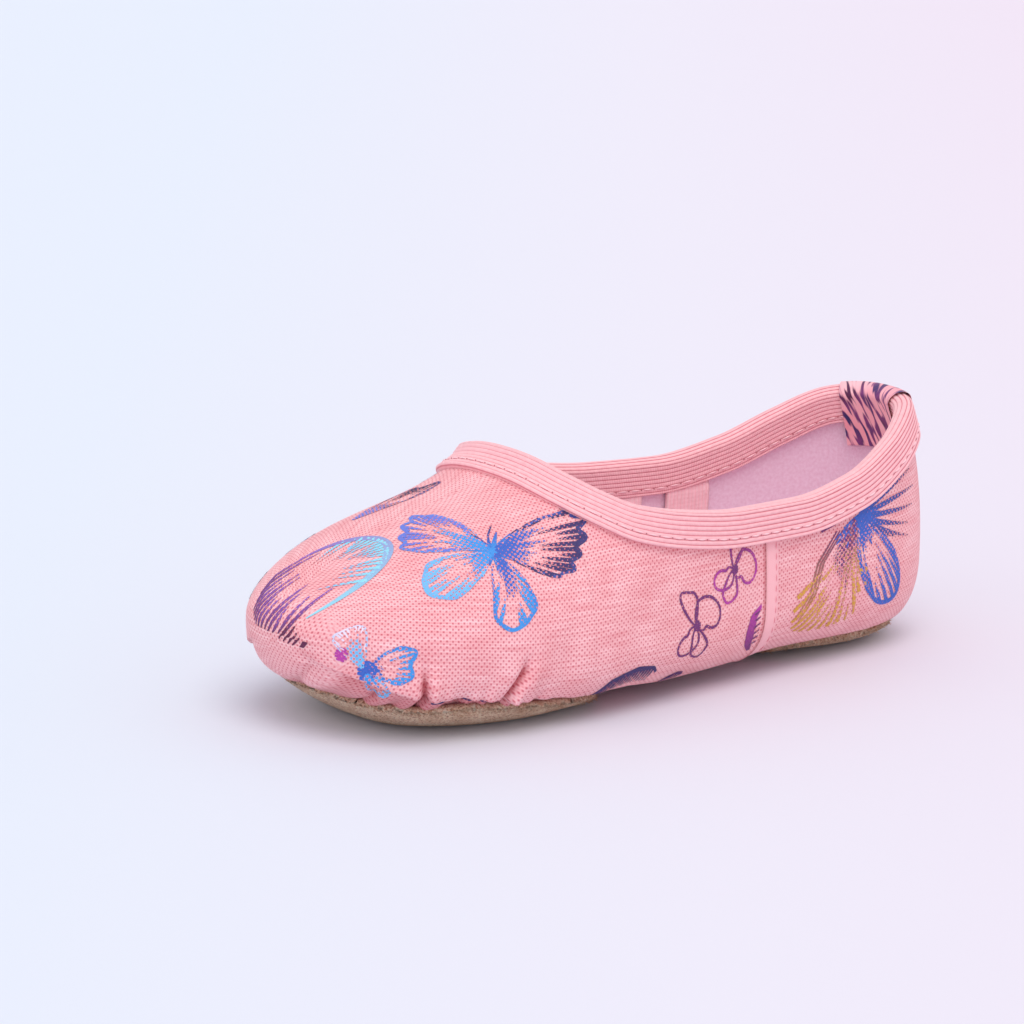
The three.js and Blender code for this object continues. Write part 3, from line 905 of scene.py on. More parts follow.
def make_binding(edge, rails, run, places):
    """Fold-over elastic round the whole collar, as a closed strip."""
    profile, across = strip_profile(BINDING_WIDTH, FIT_GAP, ELASTIC, 0.3)
    points = folded_strip(profile, edge, rails, run)
    rows, columns = points.shape[:2]
    chart = np.stack(np.broadcast_arrays(places[:, None], across[None, :]), -1)
    faces = grid_faces(rows, columns, closed=True, joined=True)[:, [0, 3, 2, 1]]
    return make_mesh("collar_binding_elastic", points, faces, chart)


TAB_NEAR = 6.8
TAB_FAR = 11.2


def make_tab(edge, rails, run, places, total):
    """Thin cloth folded over the binding at the back, a tab's width along the collar."""
    distance = np.where(places > total / 2, places - total, places)
    order = np.argsort(distance)
    order = order[(distance[order] <= TAB_NEAR) & (distance[order] >= -TAB_FAR)]
    clear = FIT_GAP + ELASTIC + 0.03
    profile, across = strip_profile(TAB_DROP - 1.5, clear, 0.45, 0.0)
    profile = [(min(d, BINDING_WIDTH - 0.3), o) if o > 0 else (d, o) for d, o in profile]
    points = folded_strip(profile, edge[order], rails[order], run[order], True)
    rows, columns = points.shape[:2]
    chart = np.stack(np.broadcast_arrays(distance[order][:, None], across[None, :]), -1)
    faces = grid_faces(rows, columns, closed=True)[:, ::-1]
    return make_mesh("heel_tab_cloth", points, faces, chart)


def stitch_mesh(name, starts, ends, normals, thickness):
    """One small spindle for each stitch, from start to end, bowed off the cloth along its normal."""
    sides, steps = 6, 5
    turn = 2 * np.pi * np.arange(sides) / sides
    part = np.linspace(0, 1, steps)
    swell = thickness * (0.25 + 0.75 * np.sin(np.pi * part))
    bow = 0.16 * np.sin(np.pi * part)
    along = unit(ends - starts)
    side = unit(np.cross(normals, along))
    run = (ends - starts)[:, None] * part[None, :, None]
    centre = starts[:, None] + run + normals[:, None] * bow[None, :, None]
    ring = (side[:, None, None] * np.cos(turn)[None, None, :, None]
            + normals[:, None, None] * np.sin(turn)[None, None, :, None])
    points = centre[:, :, None] + ring * swell[None, :, None, None]
    one = grid_faces(steps, sides, closed=True)
    faces = np.concatenate([one + k * steps * sides for k in range(len(starts))])
    return make_mesh(name, points, faces)


STITCH_PITCH = 3.0
STITCH_LENGTH = 2.1


def collar_stitches(edge, rails, run, places, total):
    """Sewing along the binding's legs, three quarters of the way down, and dark spindles of painted shade in
    its needle holes.
    """
    count = int(total / STITCH_PITCH)
    rows = []
    for out, drop in ((FIT_GAP + ELASTIC - 0.12, 4.5), (-CLOTH - FIT_GAP - ELASTIC + 0.02, 4.9)):
        line = folded_strip([(drop, out), (drop, out + math.copysign(1, out))], edge, rails, run)
        rows.append(line)
    starts, ends, normals = [], [], []
    for line in rows:
        for k in range(count):
            a = np.searchsorted(places, k * total / count)
            b = (a + int(round(STITCH_LENGTH / (total / len(places))))) % len(places)
            a = a % len(places)
            starts.append(line[a, 0])
            ends.append(line[b, 0])
            normals.append(line[a, 1] - line[a, 0])
    starts, ends, normals = (np.array(v) for v in (starts, ends, normals))
    piece = stitch_mesh("collar_stitching", starts, ends, normals, 0.2)
    gaps = (ends + np.roll(starts, -1, 0)) / 2
    near = np.linalg.norm(ends - np.roll(starts, -1, 0), axis=1) < STITCH_PITCH
    toward = unit(np.roll(starts, -1, 0) - ends)[near]
    spot = gaps[near] - normals[near] * 0.03
    # Small dark spindles at the needle holes: painted shade in the holes
    holes = stitch_mesh("needle_hole_shades", spot - toward * 0.2, spot + toward * 0.2, normals[near], 0.13)
    return piece, holes


STITCH_RISE = 0.18 - VAMP_STEP


def seam_stitches():
    """A row of stitches down each side seam, a little behind the vamp's edge."""
    starts, ends, normals = [], [], []
    for side in (1, -1):
        heights = np.arange(5.5, 29.0, 2.2)
        x = x_at(SEAM_SHARE) - 0.82 * SEAM_TAPE + 0 * heights
        a = side_point(x, heights, side)
        b = side_point(x, heights + 1.5, side)
        starts.append(a + last_normal(a) * STITCH_RISE)
        ends.append(b + last_normal(b) * STITCH_RISE)
        normals.append(last_normal(a))
    return stitch_mesh("seam_stitching", *(np.concatenate(v) for v in (starts, ends, normals)), 0.12)


def pad_half_width(pad, share):
    """Half width of a pad in plan out to the tuck, with rounded ends."""
    full = fullness(share) ** (1 / SIDE_POWER)
    side = np.cos((edge_at(share) + PAD_INSET) * (math.pi / 2)) ** (2 / SIDE_POWER)
    along = 2 * (share - pad["from"]) / (pad["to"] - pad["from"]) - 1
    rounded = np.clip(1 - np.abs(along) ** pad["end_power"], 0, 1) ** (1 / SIDE_POWER)
    return np.maximum(half_width_at(share) * full * side * rounded, 0.3)


def underside_point(share, y):
    """Underside of the last at a place in plan."""
    height, power = vertical_half(share, False)
    side = (np.abs(y) / half_width_at(share)) ** SIDE_POWER
    drop = height * np.clip(fullness(share) - side, 0, 1) ** (1 / power)
    return np.stack(np.broadcast_arrays(x_at(share), y, np.maximum(widest_at(share) - drop, 0)), -1)


def closed_sheet(name, outer, inner, chart):
    """Two grids of points with the rim between them."""
    rows, columns = outer.shape[:2]
    count = rows * columns
    grid = grid_faces(rows, columns)
    index = np.arange(count).reshape(rows, columns)
    rim = np.concatenate([index[0, :-1], index[:-1, -1], index[-1, :0:-1], index[:0:-1, 0]])
    after = np.roll(rim, -1)
    wall = np.stack([rim, rim + count, after + count, after], -1)
    faces = np.concatenate([grid[:, ::-1], grid + count, wall[:, ::-1]])
    points = np.concatenate([outer.reshape(-1, 3), inner.reshape(-1, 3)])
    chart = np.broadcast_to(chart, outer.shape[:2] + (2,)).reshape(-1, 2)
    return make_mesh(name, points, faces, np.concatenate([chart, chart]))


def sole_grid(reach, half_width, rows, columns):
    """Shares, places across and points of the underside over a reach of the shoe's length."""
    share = cosine_run(reach["from"], reach["to"], rows)[:, None]
    across = np.sin(np.pi / 2 * np.linspace(-1, 1, columns))[None, :]
    y = half_width(share) * across
    share, across, y = np.broadcast_arrays(share, across, y)
    return share, across, underside_point(share, y)


def make_pad(name, pad):
    """Suede pad, its rim ragged by noise along the edge, its nap by noise over the face."""
    half = lambda share: pad_half_width(pad, share)
    share, across, base = sole_grid(pad, half, 241, 121)
    normal = last_normal(base)
    rim = smooth_step(0.9, 1.0, np.abs(across))
    ragged = rng.normal(0, 0.2, base.shape[:2]) * rim
    nap = rng.normal(0, 0.035, base.shape[:2])
    rounded = -0.35 * smooth_step(0.95, 1.0, np.abs(across))
    face = np.minimum(nap + ragged + rounded, 0)
    outer = base + normal * face[..., None]
    outer[..., 2] = np.maximum(outer[..., 2], 0.0)
    inner = base - normal * SUEDE
    return closed_sheet(name, outer, inner, base[..., :2])


def make_fibres(pads):
    """Short fibres standing off the rim of the suede, each a thin blade of two quads."""
    roots, tips, widths = [], [], []
    for pad, count in pads:
        share = rng.uniform(pad["from"] + 0.004, pad["to"] - 0.004, count)
        side = rng.choice([-1.0, 1.0], count)
        y = side * pad_half_width(pad, share) * rng.uniform(0.93, 0.995, count)
        base = underside_point(share, y)
        normal = last_normal(base)
        outward = unit(np.stack([rng.normal(0, 0.5, count), side, rng.normal(0, 0.25, count)], -1))
        root = base - normal * rng.uniform(0.1, 1.1, count)[:, None]
        lean = outward + normal * rng.uniform(-0.1, 0.5, count)[:, None]
        tip = root + unit(lean) * rng.uniform(0.4, 1.25, count)[:, None]
        tip[:, 2] = np.maximum(tip[:, 2], 0.05)
        roots.append(root)
        tips.append(tip)
        widths.append(rng.uniform(0.05, 0.1, count))
    root, tip, width = (np.concatenate(v) for v in (roots, tips, widths))
    side = unit(np.cross(tip - root, (0.3, 0.2, 1.0))) * width[:, None]
    middle = (root + tip) / 2 + side * 0.4
    waist = side * 0.7
    points = np.stack([root - side, root + side, middle - waist, middle + waist, tip, tip + side * 0.15], 1)
    one = np.array([(0, 1, 3, 2), (2, 3, 5, 4)])
    faces = (one[None] + 6 * np.arange(len(root))[:, None, None]).reshape(-1, 4)
    return make_mesh("suede_fibres", points, faces)


def make_sock():
    """Lining sock over the bottom, inside."""
    half = lambda share: SOCK_WIDTH * half_width_at(share) * fullness(share) ** (1 / SIDE_POWER) - SOCK_INSET
    share, _, base = sole_grid(SOCK_REACH, half, 120, 50)
    normal = last_normal(base)
    lower = (-tuck(share, -math.pi / 2) - CLOTH - SOCK_GAP)[..., None]
    return closed_sheet("sock_lining", base + normal * lower, base + normal * (lower - SOCK), base[..., :2])


STRAP_TUCK = 0.028


def make_strap(name, far, near, layer):
    """Flat elastic from under the far leg of the binding, over the sock and up the near wall."""
    rows, columns = 260, 23
    wall = lambda share: section_angle(side_point(
        x_at(share), collar_at(share) - BINDING_WIDTH - STRAP_CLEAR, 1.0))
    along = np.linspace(-STRAP_TUCK, 1 + STRAP_TUCK, rows)[:, None]
    across = np.linspace(-1, 1, columns)[None, :]
    mid = far + (near - far) * smooth_step(0, 1, along)
    share = mid - STRAP_WIDTH / 2 / LENGTH * across
    start, finish = math.pi - wall(far), 2 * math.pi + wall(near)
    angle = np.broadcast_to(start + (finish - start) * along, share.shape)
    beyond = smooth_step(0, 0.6 * STRAP_TUCK, np.maximum(-along, along - 1))
    over = smooth_step(0.08, 0.3, -np.sin(angle))
    lift = SOCK + SOCK_GAP + FIT_GAP + layer * (STRAP_CLOTH + 2 * FIT_GAP)
    slack = 0.5 * np.exp(-(((along - 0.12) / 0.08) ** 2)) + 0.5 * np.exp(-(((along - 0.88) / 0.08) ** 2))
    depth = tuck(share, angle) + CLOTH + FIT_GAP - 0.25 * beyond + over * lift + slack
    thick = STRAP_CLOTH * (1 - 0.75 * beyond) + 0 * share
    base = last_point(share, angle)
    normal = last_normal(base)
    rib = 0.06 * np.abs(np.sin(np.pi * across * STRAP_WIDTH / 2 / 0.9)) + 0 * share
    chart = np.stack(np.broadcast_arrays(along * 90, across * STRAP_WIDTH / 2), -1)
    inner = base - normal * (depth + thick - 0.06 + rib)[..., None]
    return closed_sheet(name, inner, base - normal * depth[..., None], chart)


INK = {
    "navy": "2A2C66", "blue": "2563C4", "bright": "2E97E6", "cyan": "8FE0F2", "sky": "6CBDF2",
    "periwinkle": "5F7BDC", "purple": "6B2E70", "plum": "5A1C48", "magenta": "B63AA4",
    "gold": "D2A03A", "ochre": "C08A3C", "lilac": "C9B6E6", "silver": "E6DDF2", "violet": "8A5AC0",
}


class Print:
    """Strokes of ink gathered into one thin film over the cloth, with a colour and a cover each."""

    def __init__(self):
        self.points, self.faces, self.inks, self.count = [], [], [], 0

    def place(self, centre, side, turn):
        """Sets a motif's centre on the last and its axes: across towards the heel, and up the side."""
        self.centre = onto_last(side_point(centre[0], centre[1], side)[None])[0]
        normal = last_normal(self.centre[None])[0]
        heelward = unit(np.array([-1.0, 0, 0]) + normal * normal[0])
        upward = np.cross(heelward, normal)
        upward = upward if upward[2] >= 0 else -upward
        turn = math.radians(turn)
        self.across = heelward * math.cos(turn) + upward * math.sin(turn)
        self.up = upward * math.cos(turn) - heelward * math.sin(turn)

    def stroke(self, route, widths, first, last, cover=(1.0, 1.0)):
        """Ribbon along a route in the motif's plane, laid on the cloth, shaded from first to last."""
        route = np.asarray(route, float)
        length = np.concatenate([[0], np.cumsum(np.linalg.norm(np.diff(route, axis=0), axis=1))])
        steps = max(int(length[-1] / 0.55) + 1, 3)
        part = np.linspace(0, 1, steps)
        line = np.stack([np.interp(part * length[-1], length, route[:, k]) for k in (0, 1)], -1)
        width = np.interp(part, np.linspace(0, 1, len(widths)), widths)
        run = unit(np.gradient(line, axis=0))
        side = np.stack([-run[:, 1], run[:, 0]], -1) * width[:, None] / 2
        flat = np.stack([line - side, line + side], 1)
        self.points.append(self.centre + flat[..., :1] * self.across + flat[..., 1:] * self.up)
        self.faces.append(grid_faces(steps, 2) + self.count)
        mix = part[:, None]
        colour = np.array(linear_colour(INK[first])) * (1 - mix) + np.array(linear_colour(INK[last])) * mix
        colour[:, 3] = np.interp(part, (0, 1), cover)
        self.inks.append(np.repeat(colour, 2, axis=0))
        self.count += 2 * steps

    def film(self, name, material):
        """Lays the strokes on the cloth and makes them one piece."""
        flat = np.concatenate([p.reshape(-1, 3) for p in self.points])
        base = onto_last(flat)
        share, angle = share_at(base[:, 0]), section_angle(base)
        layer = 0.07 + 0.03 * rng.random(len(base))
        points = lay_on_skin(base, layer)
        chart = np.stack(cloth_chart(share, angle), -1)
        piece = make_mesh(name, points, np.concatenate(self.faces), chart)
        attribute = piece.data.color_attributes.new("ink", "FLOAT_COLOR", "POINT")
        attribute.data.foreach_set("color", np.concatenate(self.inks).astype(np.float32).ravel())
        return finish_piece(piece, material, "canvas")


# Wings along their own axis, as shares of length and width: root, leading edge, tip, trailing edge
FOREWING = [(0, 0), (0.22, 0.26), (0.55, 0.5), (0.86, 0.6), (1.0, 0.48), (0.97, 0.2), (0.9, -0.06),
            (0.84, -0.3), (0.66, -0.42), (0.4, -0.32), (0.16, -0.14), (0, 0)]
HEART = [(0, 0), (0.12, 0.3), (0.34, 0.52), (0.62, 0.5), (0.86, 0.34), (1.0, 0.06), (0.94, -0.22),
         (0.74, -0.38), (0.5, -0.34), (0.36, -0.2), (0.2, -0.24), (0.06, -0.12), (0, 0)]
LOBE = [(0, 0), (0.2, 0.24), (0.46, 0.36), (0.74, 0.44), (0.9, 0.3), (1.0, 0.1), (0.94, -0.16), (0.84, -0.3),
        (0.7, -0.44), (0.42, -0.34), (0.16, -0.16), (0, 0)]
HINDWING = [(0, 0), (0.2, 0.22), (0.5, 0.42), (0.78, 0.4), (0.97, 0.2), (1.0, -0.06), (0.88, -0.34),
            (0.64, -0.48), (0.38, -0.42), (0.15, -0.2), (0, 0)]


def wing_edge(root, axis, length, width, shape=FOREWING, scallops=0, flip=1, count=121):
    """Outline of a wing: a rounded curve through its few points, its outer margin scalloped."""
    spots = np.array(shape, float)
    last = len(spots) - 1
    place = np.linspace(0, last, count)
    k = np.minimum(place.astype(int), last - 1)
    u = (place - k)[:, None]
    before, after = spots[np.maximum(k - 1, 0)], spots[np.minimum(k + 2, last)]
    here, there = spots[k], spots[k + 1]
    curve = 0.5 * (2 * here + (there - before) * u + (2 * before - 5 * here + 4 * there - after) * u ** 2
                   + (3 * here - before - 3 * there + after) * u ** 3)
    margin = smooth_step(0.5, 0.85, curve[:, 0])
    ripple = 0.05 * margin * np.cos(scallops * 2 * np.pi * place / last) * (scallops > 0)
    curve = curve * (1 + ripple)[:, None]
    along, across = curve[:, 0] * length, curve[:, 1] * width * flip
    axis = math.radians(axis)
    x = root[0] + along * math.cos(axis) - across * math.sin(axis)
    y = root[1] + along * math.sin(axis) + across * math.cos(axis)
    return np.stack([x, y], -1)


def outlined_wing(ink, root, axis, length, width, first, last, thickness=0.75, shape=FOREWING, flip=1):
    edge = wing_edge(root, axis, length, width, shape, 0, flip)
    half = len(edge) // 2
    broad = [0.6 * thickness, thickness, 0.8 * thickness]
    ink.stroke(edge[:half + 1], broad, first, last, (1.3, 1.2))
    ink.stroke(edge[half:][::-1], broad, first, last, (1.3, 1.2))


def hatched_wing(ink, root, axis, length, width, inner, outer, rays=26, core=0.42, rim=0.26, scallops=9,
                 cover=1.35, thickness=0.62, shape=FOREWING, flip=1, closed=True):
    """Wing of strokes: rays from the root, hatching in from the tip, and a broken rim line."""
    edge = wing_edge(root, axis, length, width, shape, scallops, flip)
    root = np.asarray(root, float)
    for k in np.linspace(6, 114, rays):
        tip = edge[int(round(k))]
        reach = np.linalg.norm(tip - root) / length
        bend = np.array([-(tip - root)[1], (tip - root)[0]]) * 0.05 * math.sin(2 * np.pi * k / 120)
        start, stop = rng.uniform(0.0, 0.08), core * rng.uniform(0.65, 1.25)
        ray = lambda f: root + (tip - root) * f + bend * math.sin(math.pi * f)
        inside = [ray(f) for f in np.linspace(start, stop, 6)]
        ink.stroke(inside, [thickness, thickness, 0.25], inner, outer if core > 0.6 else inner, (cover, 0.75))
        back = 1 - rim * rng.uniform(0.5, 1.4)
        if reach > 0.35 and back > stop:
            outside = [ray(f) for f in np.linspace(back, 1.0, 5)]
            ink.stroke(outside, [0.25, thickness, 1.1 * thickness], outer, outer, (0.8, cover))
    if closed:
        half = len(edge) // 2
        for run in (edge[8:half + 1], edge[half:-8][::-1]):
            ink.stroke(run, [0.3, 0.8 * thickness, 1.5 * thickness], inner, outer, (0.8, cover))


def blob(ink, centre, radius, first, last, cover=1.4):
    """Filled round patch as a few short strokes side by side."""
    for step in np.linspace(-0.8, 0.8, 5):
        reach = radius * math.sqrt(1 - step * step)
        y = centre[1] + step * radius
        route = [(centre[0] - reach, y), (centre[0], y + 0.1 * radius), (centre[0] + reach, y)]
        ink.stroke(route, [0.3 * radius, 0.5 * radius, 0.3 * radius], first, last, (cover, cover))


def large_butterfly(ink):
    """The blue butterfly on the side of the vamp."""
    ink.place((43.2, 35.4), 1, 0)
    hatched_wing(ink, (-0.6, 0.8), 130, 20.5, 14, "bright", "periwinkle", 30, 0.5, 0.4, 9, 1.35,
                 0.85, flip=-1)
    hatched_wing(ink, (-0.8, -0.4), 191, 16.5, 11, "bright", "sky", 22, 0.45, 0.4, 0, 1.35, 0.8, LOBE)
    hatched_wing(ink, (0.8, 0.2), -19, 18.5, 14.5, "blue", "navy", 28, 0.5, 0.46, 11, 1.4, 0.9)
    hatched_wing(ink, (0.5, -0.8), -96, 19.5, 11, "blue", "bright", 24, 0.5, 0.5, 0, 1.4, 0.9, LOBE, -1)
    for angle in np.linspace(0, 2 * np.pi, 15)[:-1]:
        reach = 4.6 + 1.8 * math.sin(3 * angle)
        route = [(0, 0), (reach * math.cos(angle), reach * math.sin(angle))]
        ink.stroke(route, [1.1, 0.9, 0.3], "bright", "blue", (1.5, 1.3))
    for bend in (-0.5, 1.1):
        ink.stroke([(0, 1), (bend * 1.2, 4), (bend * 3.2, 6.5)], [0.5, 0.3], "blue", "navy", (1.3, 1.1))


def toe_wing(ink):
    """Half a wing wrapped over the toe: plum dashes at the left and a cyan rim at the right."""
    ink.place((71.8, 29.2), 1, 24)
    for k, height in enumerate(np.linspace(-10.5, 8.5, 13)):
        left = -16.5 + 0.06 * height ** 2 + rng.uniform(-0.6, 0.6)
        right = left + 12.5 + 3.4 * math.sin(k * 1.7)
        route = [(left, height * 0.9 + 1.4), (left + 4.5, height), (right, height * 0.84 - 1.0)]
        tint = "plum" if height > -2 else "purple"
        ink.stroke(route, [0.4, 1.05, 0.35], tint, "violet", (1.5, 0.9))
    for height in np.linspace(-8.6, 8.6, 17):
        reach = 17.0 * math.sqrt(max(1 - (height / 10.6) ** 2, 0.02))
        inner = reach - rng.uniform(4.5, 10.0)
        route = [(inner, height * 0.55 - 0.6), (reach, height)]
        ink.stroke(route, [0.2, 0.6, 0.95], "sky", "cyan", (0.7, 1.4))
    rim = np.radians(np.linspace(-88, 104, 40))
    arc = np.stack([17.0 * np.cos(rim), 10.2 * np.sin(rim)], -1)
    ink.stroke(arc, [0.7, 1.6, 2.0, 1.5, 0.3], "violet", "cyan", (1.3, 1.4))
    for k in range(4):
        low = 8.8 + 1.8 * k
        ink.stroke([(-16.0, low + 0.6), (-11.5, low), (-6.0 - k, low - 1.0)], [0.4, 1.1, 0.4], "plum", "plum",
                   (1.5, 1.1))
    ink.stroke([(-15.0, 18.0), (-10.5, 16.8)], [1.7, 1.9], "plum", "plum", (1.5, 1.4))


def small_butterfly(ink):
    """The small many-coloured butterfly at the toe's lower side."""
    ink.place((72.2, 15.6), 1, 0)
    hatched_wing(ink, (-0.6, 0.4), 128, 11.0, 7.5, "sky", "silver", 20, 0.55, 0.4, 0, 1.25, 0.55, flip=-1)
    hatched_wing(ink, (0.4, 0.5), 16, 9.5, 7.5, "blue", "bright", 16, 0.35, 0.4, 5, 1.35, 0.6)
    hatched_wing(ink, (0.4, -0.4), -48, 6.5, 5.0, "bright", "sky", 12, 0.5, 0.3, 0, 1.2, 0.5, HINDWING)
    blob(ink, (0.4, 0.0), 1.9, "blue", "blue")
    blob(ink, (-5.2, 1.8), 1.4, "magenta", "magenta", 1.2)


def outlined_butterfly(ink, centre, side, turn, scale, first, last):
    """Small butterfly drawn in one line, seen aslant: a narrow and a full wing above, two lobes below."""
    ink.place(centre, side, turn)
    for axis, length, width, shape, flip in (
        (104, 8.6, 4.6, FOREWING, 1), (22, 7.8, 8.6, HEART, 1),
        (-126, 7.2, 5.6, HEART, 1), (-74, 8.0, 5.6, LOBE, -1),
    ):
        outlined_wing(ink, (0, 0), axis, length * scale, width * scale, first, last, 0.66, shape, flip)
    blob(ink, (0.4, 0.0), 1.1 * scale, first, first, 1.5)


def edge_wing(ink, centre, side, turn, length, first, last):
    """Lens of a wing cut by the sole: a firm upper line and close slanting strokes."""
    ink.place(centre, side, turn)
    line = [(-length / 2, -1.6), (-length / 4, 1.2), (length / 6, 1.9)]
    line += [(length / 2.3, 0.8), (length / 2, -0.9)]
    ink.stroke(line, [0.5, 1.1, 1.2, 0.6], first, last, (1.5, 1.4))
    for step in np.linspace(-0.42, 0.44, int(length * 1.1)):
        top = np.interp(step * length, [p[0] for p in line], [p[1] for p in line])
        route = [(step * length, top), (step * length - 1.3, top - 3.4)]
        ink.stroke(route, [0.75, 0.5, 0.25], first, last, (1.4, 1.0))


def heel_butterfly(ink, side, palette):
    """Large butterfly on the quarter, its body under the binding and its rays spread to the heel."""
    deep, middle, warm, pale = palette
    ink.place((-49.6, 30.5), side, 0)
    hatched_wing(ink, (0, 0), 2, 25, 17, middle, "navy", 12, 0.95, 0.6, 0, 1.5, 1.05, closed=False)
    hatched_wing(ink, (0, -0.6), -56, 23, 12, middle, middle, 16, 0.3, 0.55, 0, 1.4, 0.95, HINDWING)
    hatched_wing(ink, (-1.0, -0.4), -118, 29, 19, deep, warm, 22, 0.5, 0.55, 0, 1.25, 0.9,
                 HINDWING, -1, False)
    hatched_wing(ink, (-1.0, -0.4), -104, 25, 15, deep, warm, 18, 0.66, 0.3, 0, 1.1, 0.6,
                 HINDWING, -1, False)
    for angle in np.radians(np.linspace(-160, 10, 24)):
        reach = rng.uniform(4.5, 8.5)
        route = [(0, 0), (reach * math.cos(angle), reach * math.sin(angle))]
        ink.stroke(route, [1.3, 1.0, 0.3], middle, middle, (1.5, 1.2))
    ink.stroke([(-3.0, 1.6), (-11.0, -1.5)], [1.0, 1.4, 0.6], deep, deep, (1.4, 1.3))
    for shift in (0.0, 0.9, 1.7):
        route = [(-6.5 + shift, -2.0), (-12 + shift, -8), (-14 + shift, -14), (-18.0 + shift, -20)]
        ink.stroke(route, [0.3, 0.55, 0.35], deep, pale, (1.3, 1.1))


def seam_wing(ink, side):
    """Edge of a wing cut off by the side seam."""
    ink.place((-19.4, 11.8), side, 0)
    arc = [(2.0, 5.4), (-0.6, 3.0), (-1.3, 0), (-0.8, -3.0), (0.8, -5.8)]
    ink.stroke(arc, [0.6, 2.2, 2.4, 0.8], "magenta", "purple", (1.4, 1.4))
    for height in np.linspace(-3.6, 3.4, 6):
        ink.stroke([(-0.4, height), (1.7, height + 0.8)], [0.6, 0.3], "purple", "purple", (1.3, 1.1))


def near_print(material):
    ink = Print()
    large_butterfly(ink)
    toe_wing(ink)
    small_butterfly(ink)
    outlined_butterfly(ink, (-1.6, 15.8), 1, 2, 0.95, "purple", "purple")
    outlined_butterfly(ink, (-12.6, 25.6), 1, -30, 0.86, "purple", "magenta")
    edge_wing(ink, (16.0, 7.6), 1, 4, 16.5, "navy", "navy")
    edge_wing(ink, (0.5, 4.6), 1, 14, 5.5, "navy", "purple")
    ink.place((53.5, 7.2), 1, 0)
    low_line = [(-7.5, -0.5), (-3.0, 0.2), (2.0, 0.9), (7.5, 0.2)]
    ink.stroke(low_line, [0.5, 1.1, 1.0, 0.5], "navy", "navy", (1.4, 1.2))
    ink.film("print_near_side", material)
    back = Print()
    heel_butterfly(back, 1, ("purple", "blue", "gold", "ochre"))
    seam_wing(back, 1)
    back.film("print_near_quarter", material)


def far_print(material):
    ink = Print()
    ink.place((44.5, 38.8), -1, 0)
    hatched_wing(ink, (-9.5, 1.2), 2, 19, 8.0, "periwinkle", "navy", 24, 0.5, 0.45, 5, 1.1, 0.5)
    ink.place((61.0, 23.0), -1, 25)
    hatched_wing(ink, (0, 0.6), 150, 15, 11, "blue", "navy", 26, 0.45, 0.4, 7)
    hatched_wing(ink, (0, 0.2), 40, 14, 10, "blue", "bright", 24, 0.5, 0.35, 7)
    hatched_wing(ink, (0, -0.6), -35, 13, 9, "blue", "navy", 22, 0.5, 0.35, 0)
    blob(ink, (0, 0), 2.2, "bright", "blue")
    outlined_butterfly(ink, (37.0, 16.0), -1, 20, 1.0, "purple", "violet")
    outlined_butterfly(ink, (20.5, 25.5), -1, -25, 1.05, "purple", "magenta")
    outlined_butterfly(ink, (24.0, 39.0), -1, 40, 0.85, "silver", "lilac")
    outlined_butterfly(ink, (1.0, 21.0), -1, -10, 1.1, "silver", "violet")
    edge_wing(ink, (12.0, 8.0), -1, -4, 14.0, "navy", "purple")
    ink.film("print_far_side", material)
    back = Print()
    heel_butterfly(back, -1, ("navy", "violet", "bright", "purple"))
    seam_wing(back, -1)
    back.film("print_far_quarter", material)


def make_camera():
    """Camera at the photograph's own angle to the shoe, far off with a long lens."""
    azimuth, elevation, roll = (math.radians(v) for v in (VIEW_AZIMUTH, VIEW_ELEVATION, VIEW_ROLL))
    back = np.array([
        math.sin(azimuth) * math.cos(elevation),
        math.cos(azimuth) * math.cos(elevation),
        math.sin(elevation),
    ])
    right = unit(np.cross(-back, (0, 0, 1)))
    up = np.cross(right, -back)
    matrix = np.eye(4)
    matrix[:3, 0] = right * math.cos(roll) + up * math.sin(roll)
    matrix[:3, 1] = up * math.cos(roll) - right * math.sin(roll)
    matrix[:3, 2] = back
    matrix[:3, 3] = (np.array(VIEW_TARGET) + back * VIEW_DISTANCE) * MM
    data = bpy.data.cameras.new("camera")
    data.lens = VIEW_LENS
    data.sensor_width = 36.0
    data.clip_start, data.clip_end = 0.01, 50.0
    camera = bpy.data.objects.new("camera", data)
    camera.matrix_world = Matrix(matrix.tolist())
    bpy.context.scene.collection.objects.link(camera)
    bpy.context.scene.camera = camera


def floor_material():
    """Pale seamless studio floor, bluish on the left and pinker on the right."""
    material, tree, shader = new_material("pale_studio_floor")
    place = add_node(tree, "ShaderNodeTexCoord").outputs["Object"]
    sideways = add_node(tree, "ShaderNodeVectorMath", {"operation": "DOT_PRODUCT"}, i0=place,
                        i1=(-math.cos(math.radians(VIEW_AZIMUTH)), math.sin(math.radians(VIEW_AZIMUTH)), 0.0))
    part = add_node(tree, "ShaderNodeMapRange", None, Value=sideways.outputs["Value"], From_Min=-0.12,
                    From_Max=0.2).outputs[0]
    tint = ramp_node(tree, part, [(0.0, "DAE4EF"), (0.45, "E1E1EC"), (1.0, "E4DAE7")])
    tree.links.new(tint, shader.inputs["Base Color"])
    shader.inputs["Roughness"].default_value = 0.7
    shader.inputs["Specular IOR Level"].default_value = 0.1
    return material


def make_floor():
    half = 4000.0
    points = [(-half, -half, 0), (half, -half, 0), (half, half, 0), (-half, half, 0)]
    floor = make_mesh("floor", points, [(0, 1, 2, 3)])
    floor.data.materials.append(floor_material())


def soft_sun(name, towards, strength, spread, colour):
    """Parallel light from a direction, its wide disk standing for a large soft box far off."""
    data = bpy.data.lights.new(name, "SUN")
    data.energy = strength
    data.angle = math.radians(spread)
    data.color = linear_colour(colour)[:3]
    lamp = bpy.data.objects.new(name, data)
    away = unit(np.array(towards, float))
    right = unit(np.cross((0, 0, 1), away))
    matrix = np.eye(4)
    matrix[:3, :3] = np.stack([right, np.cross(away, right), away], 1)
    lamp.matrix_world = Matrix(matrix.tolist())
    bpy.context.scene.collection.objects.link(lamp)


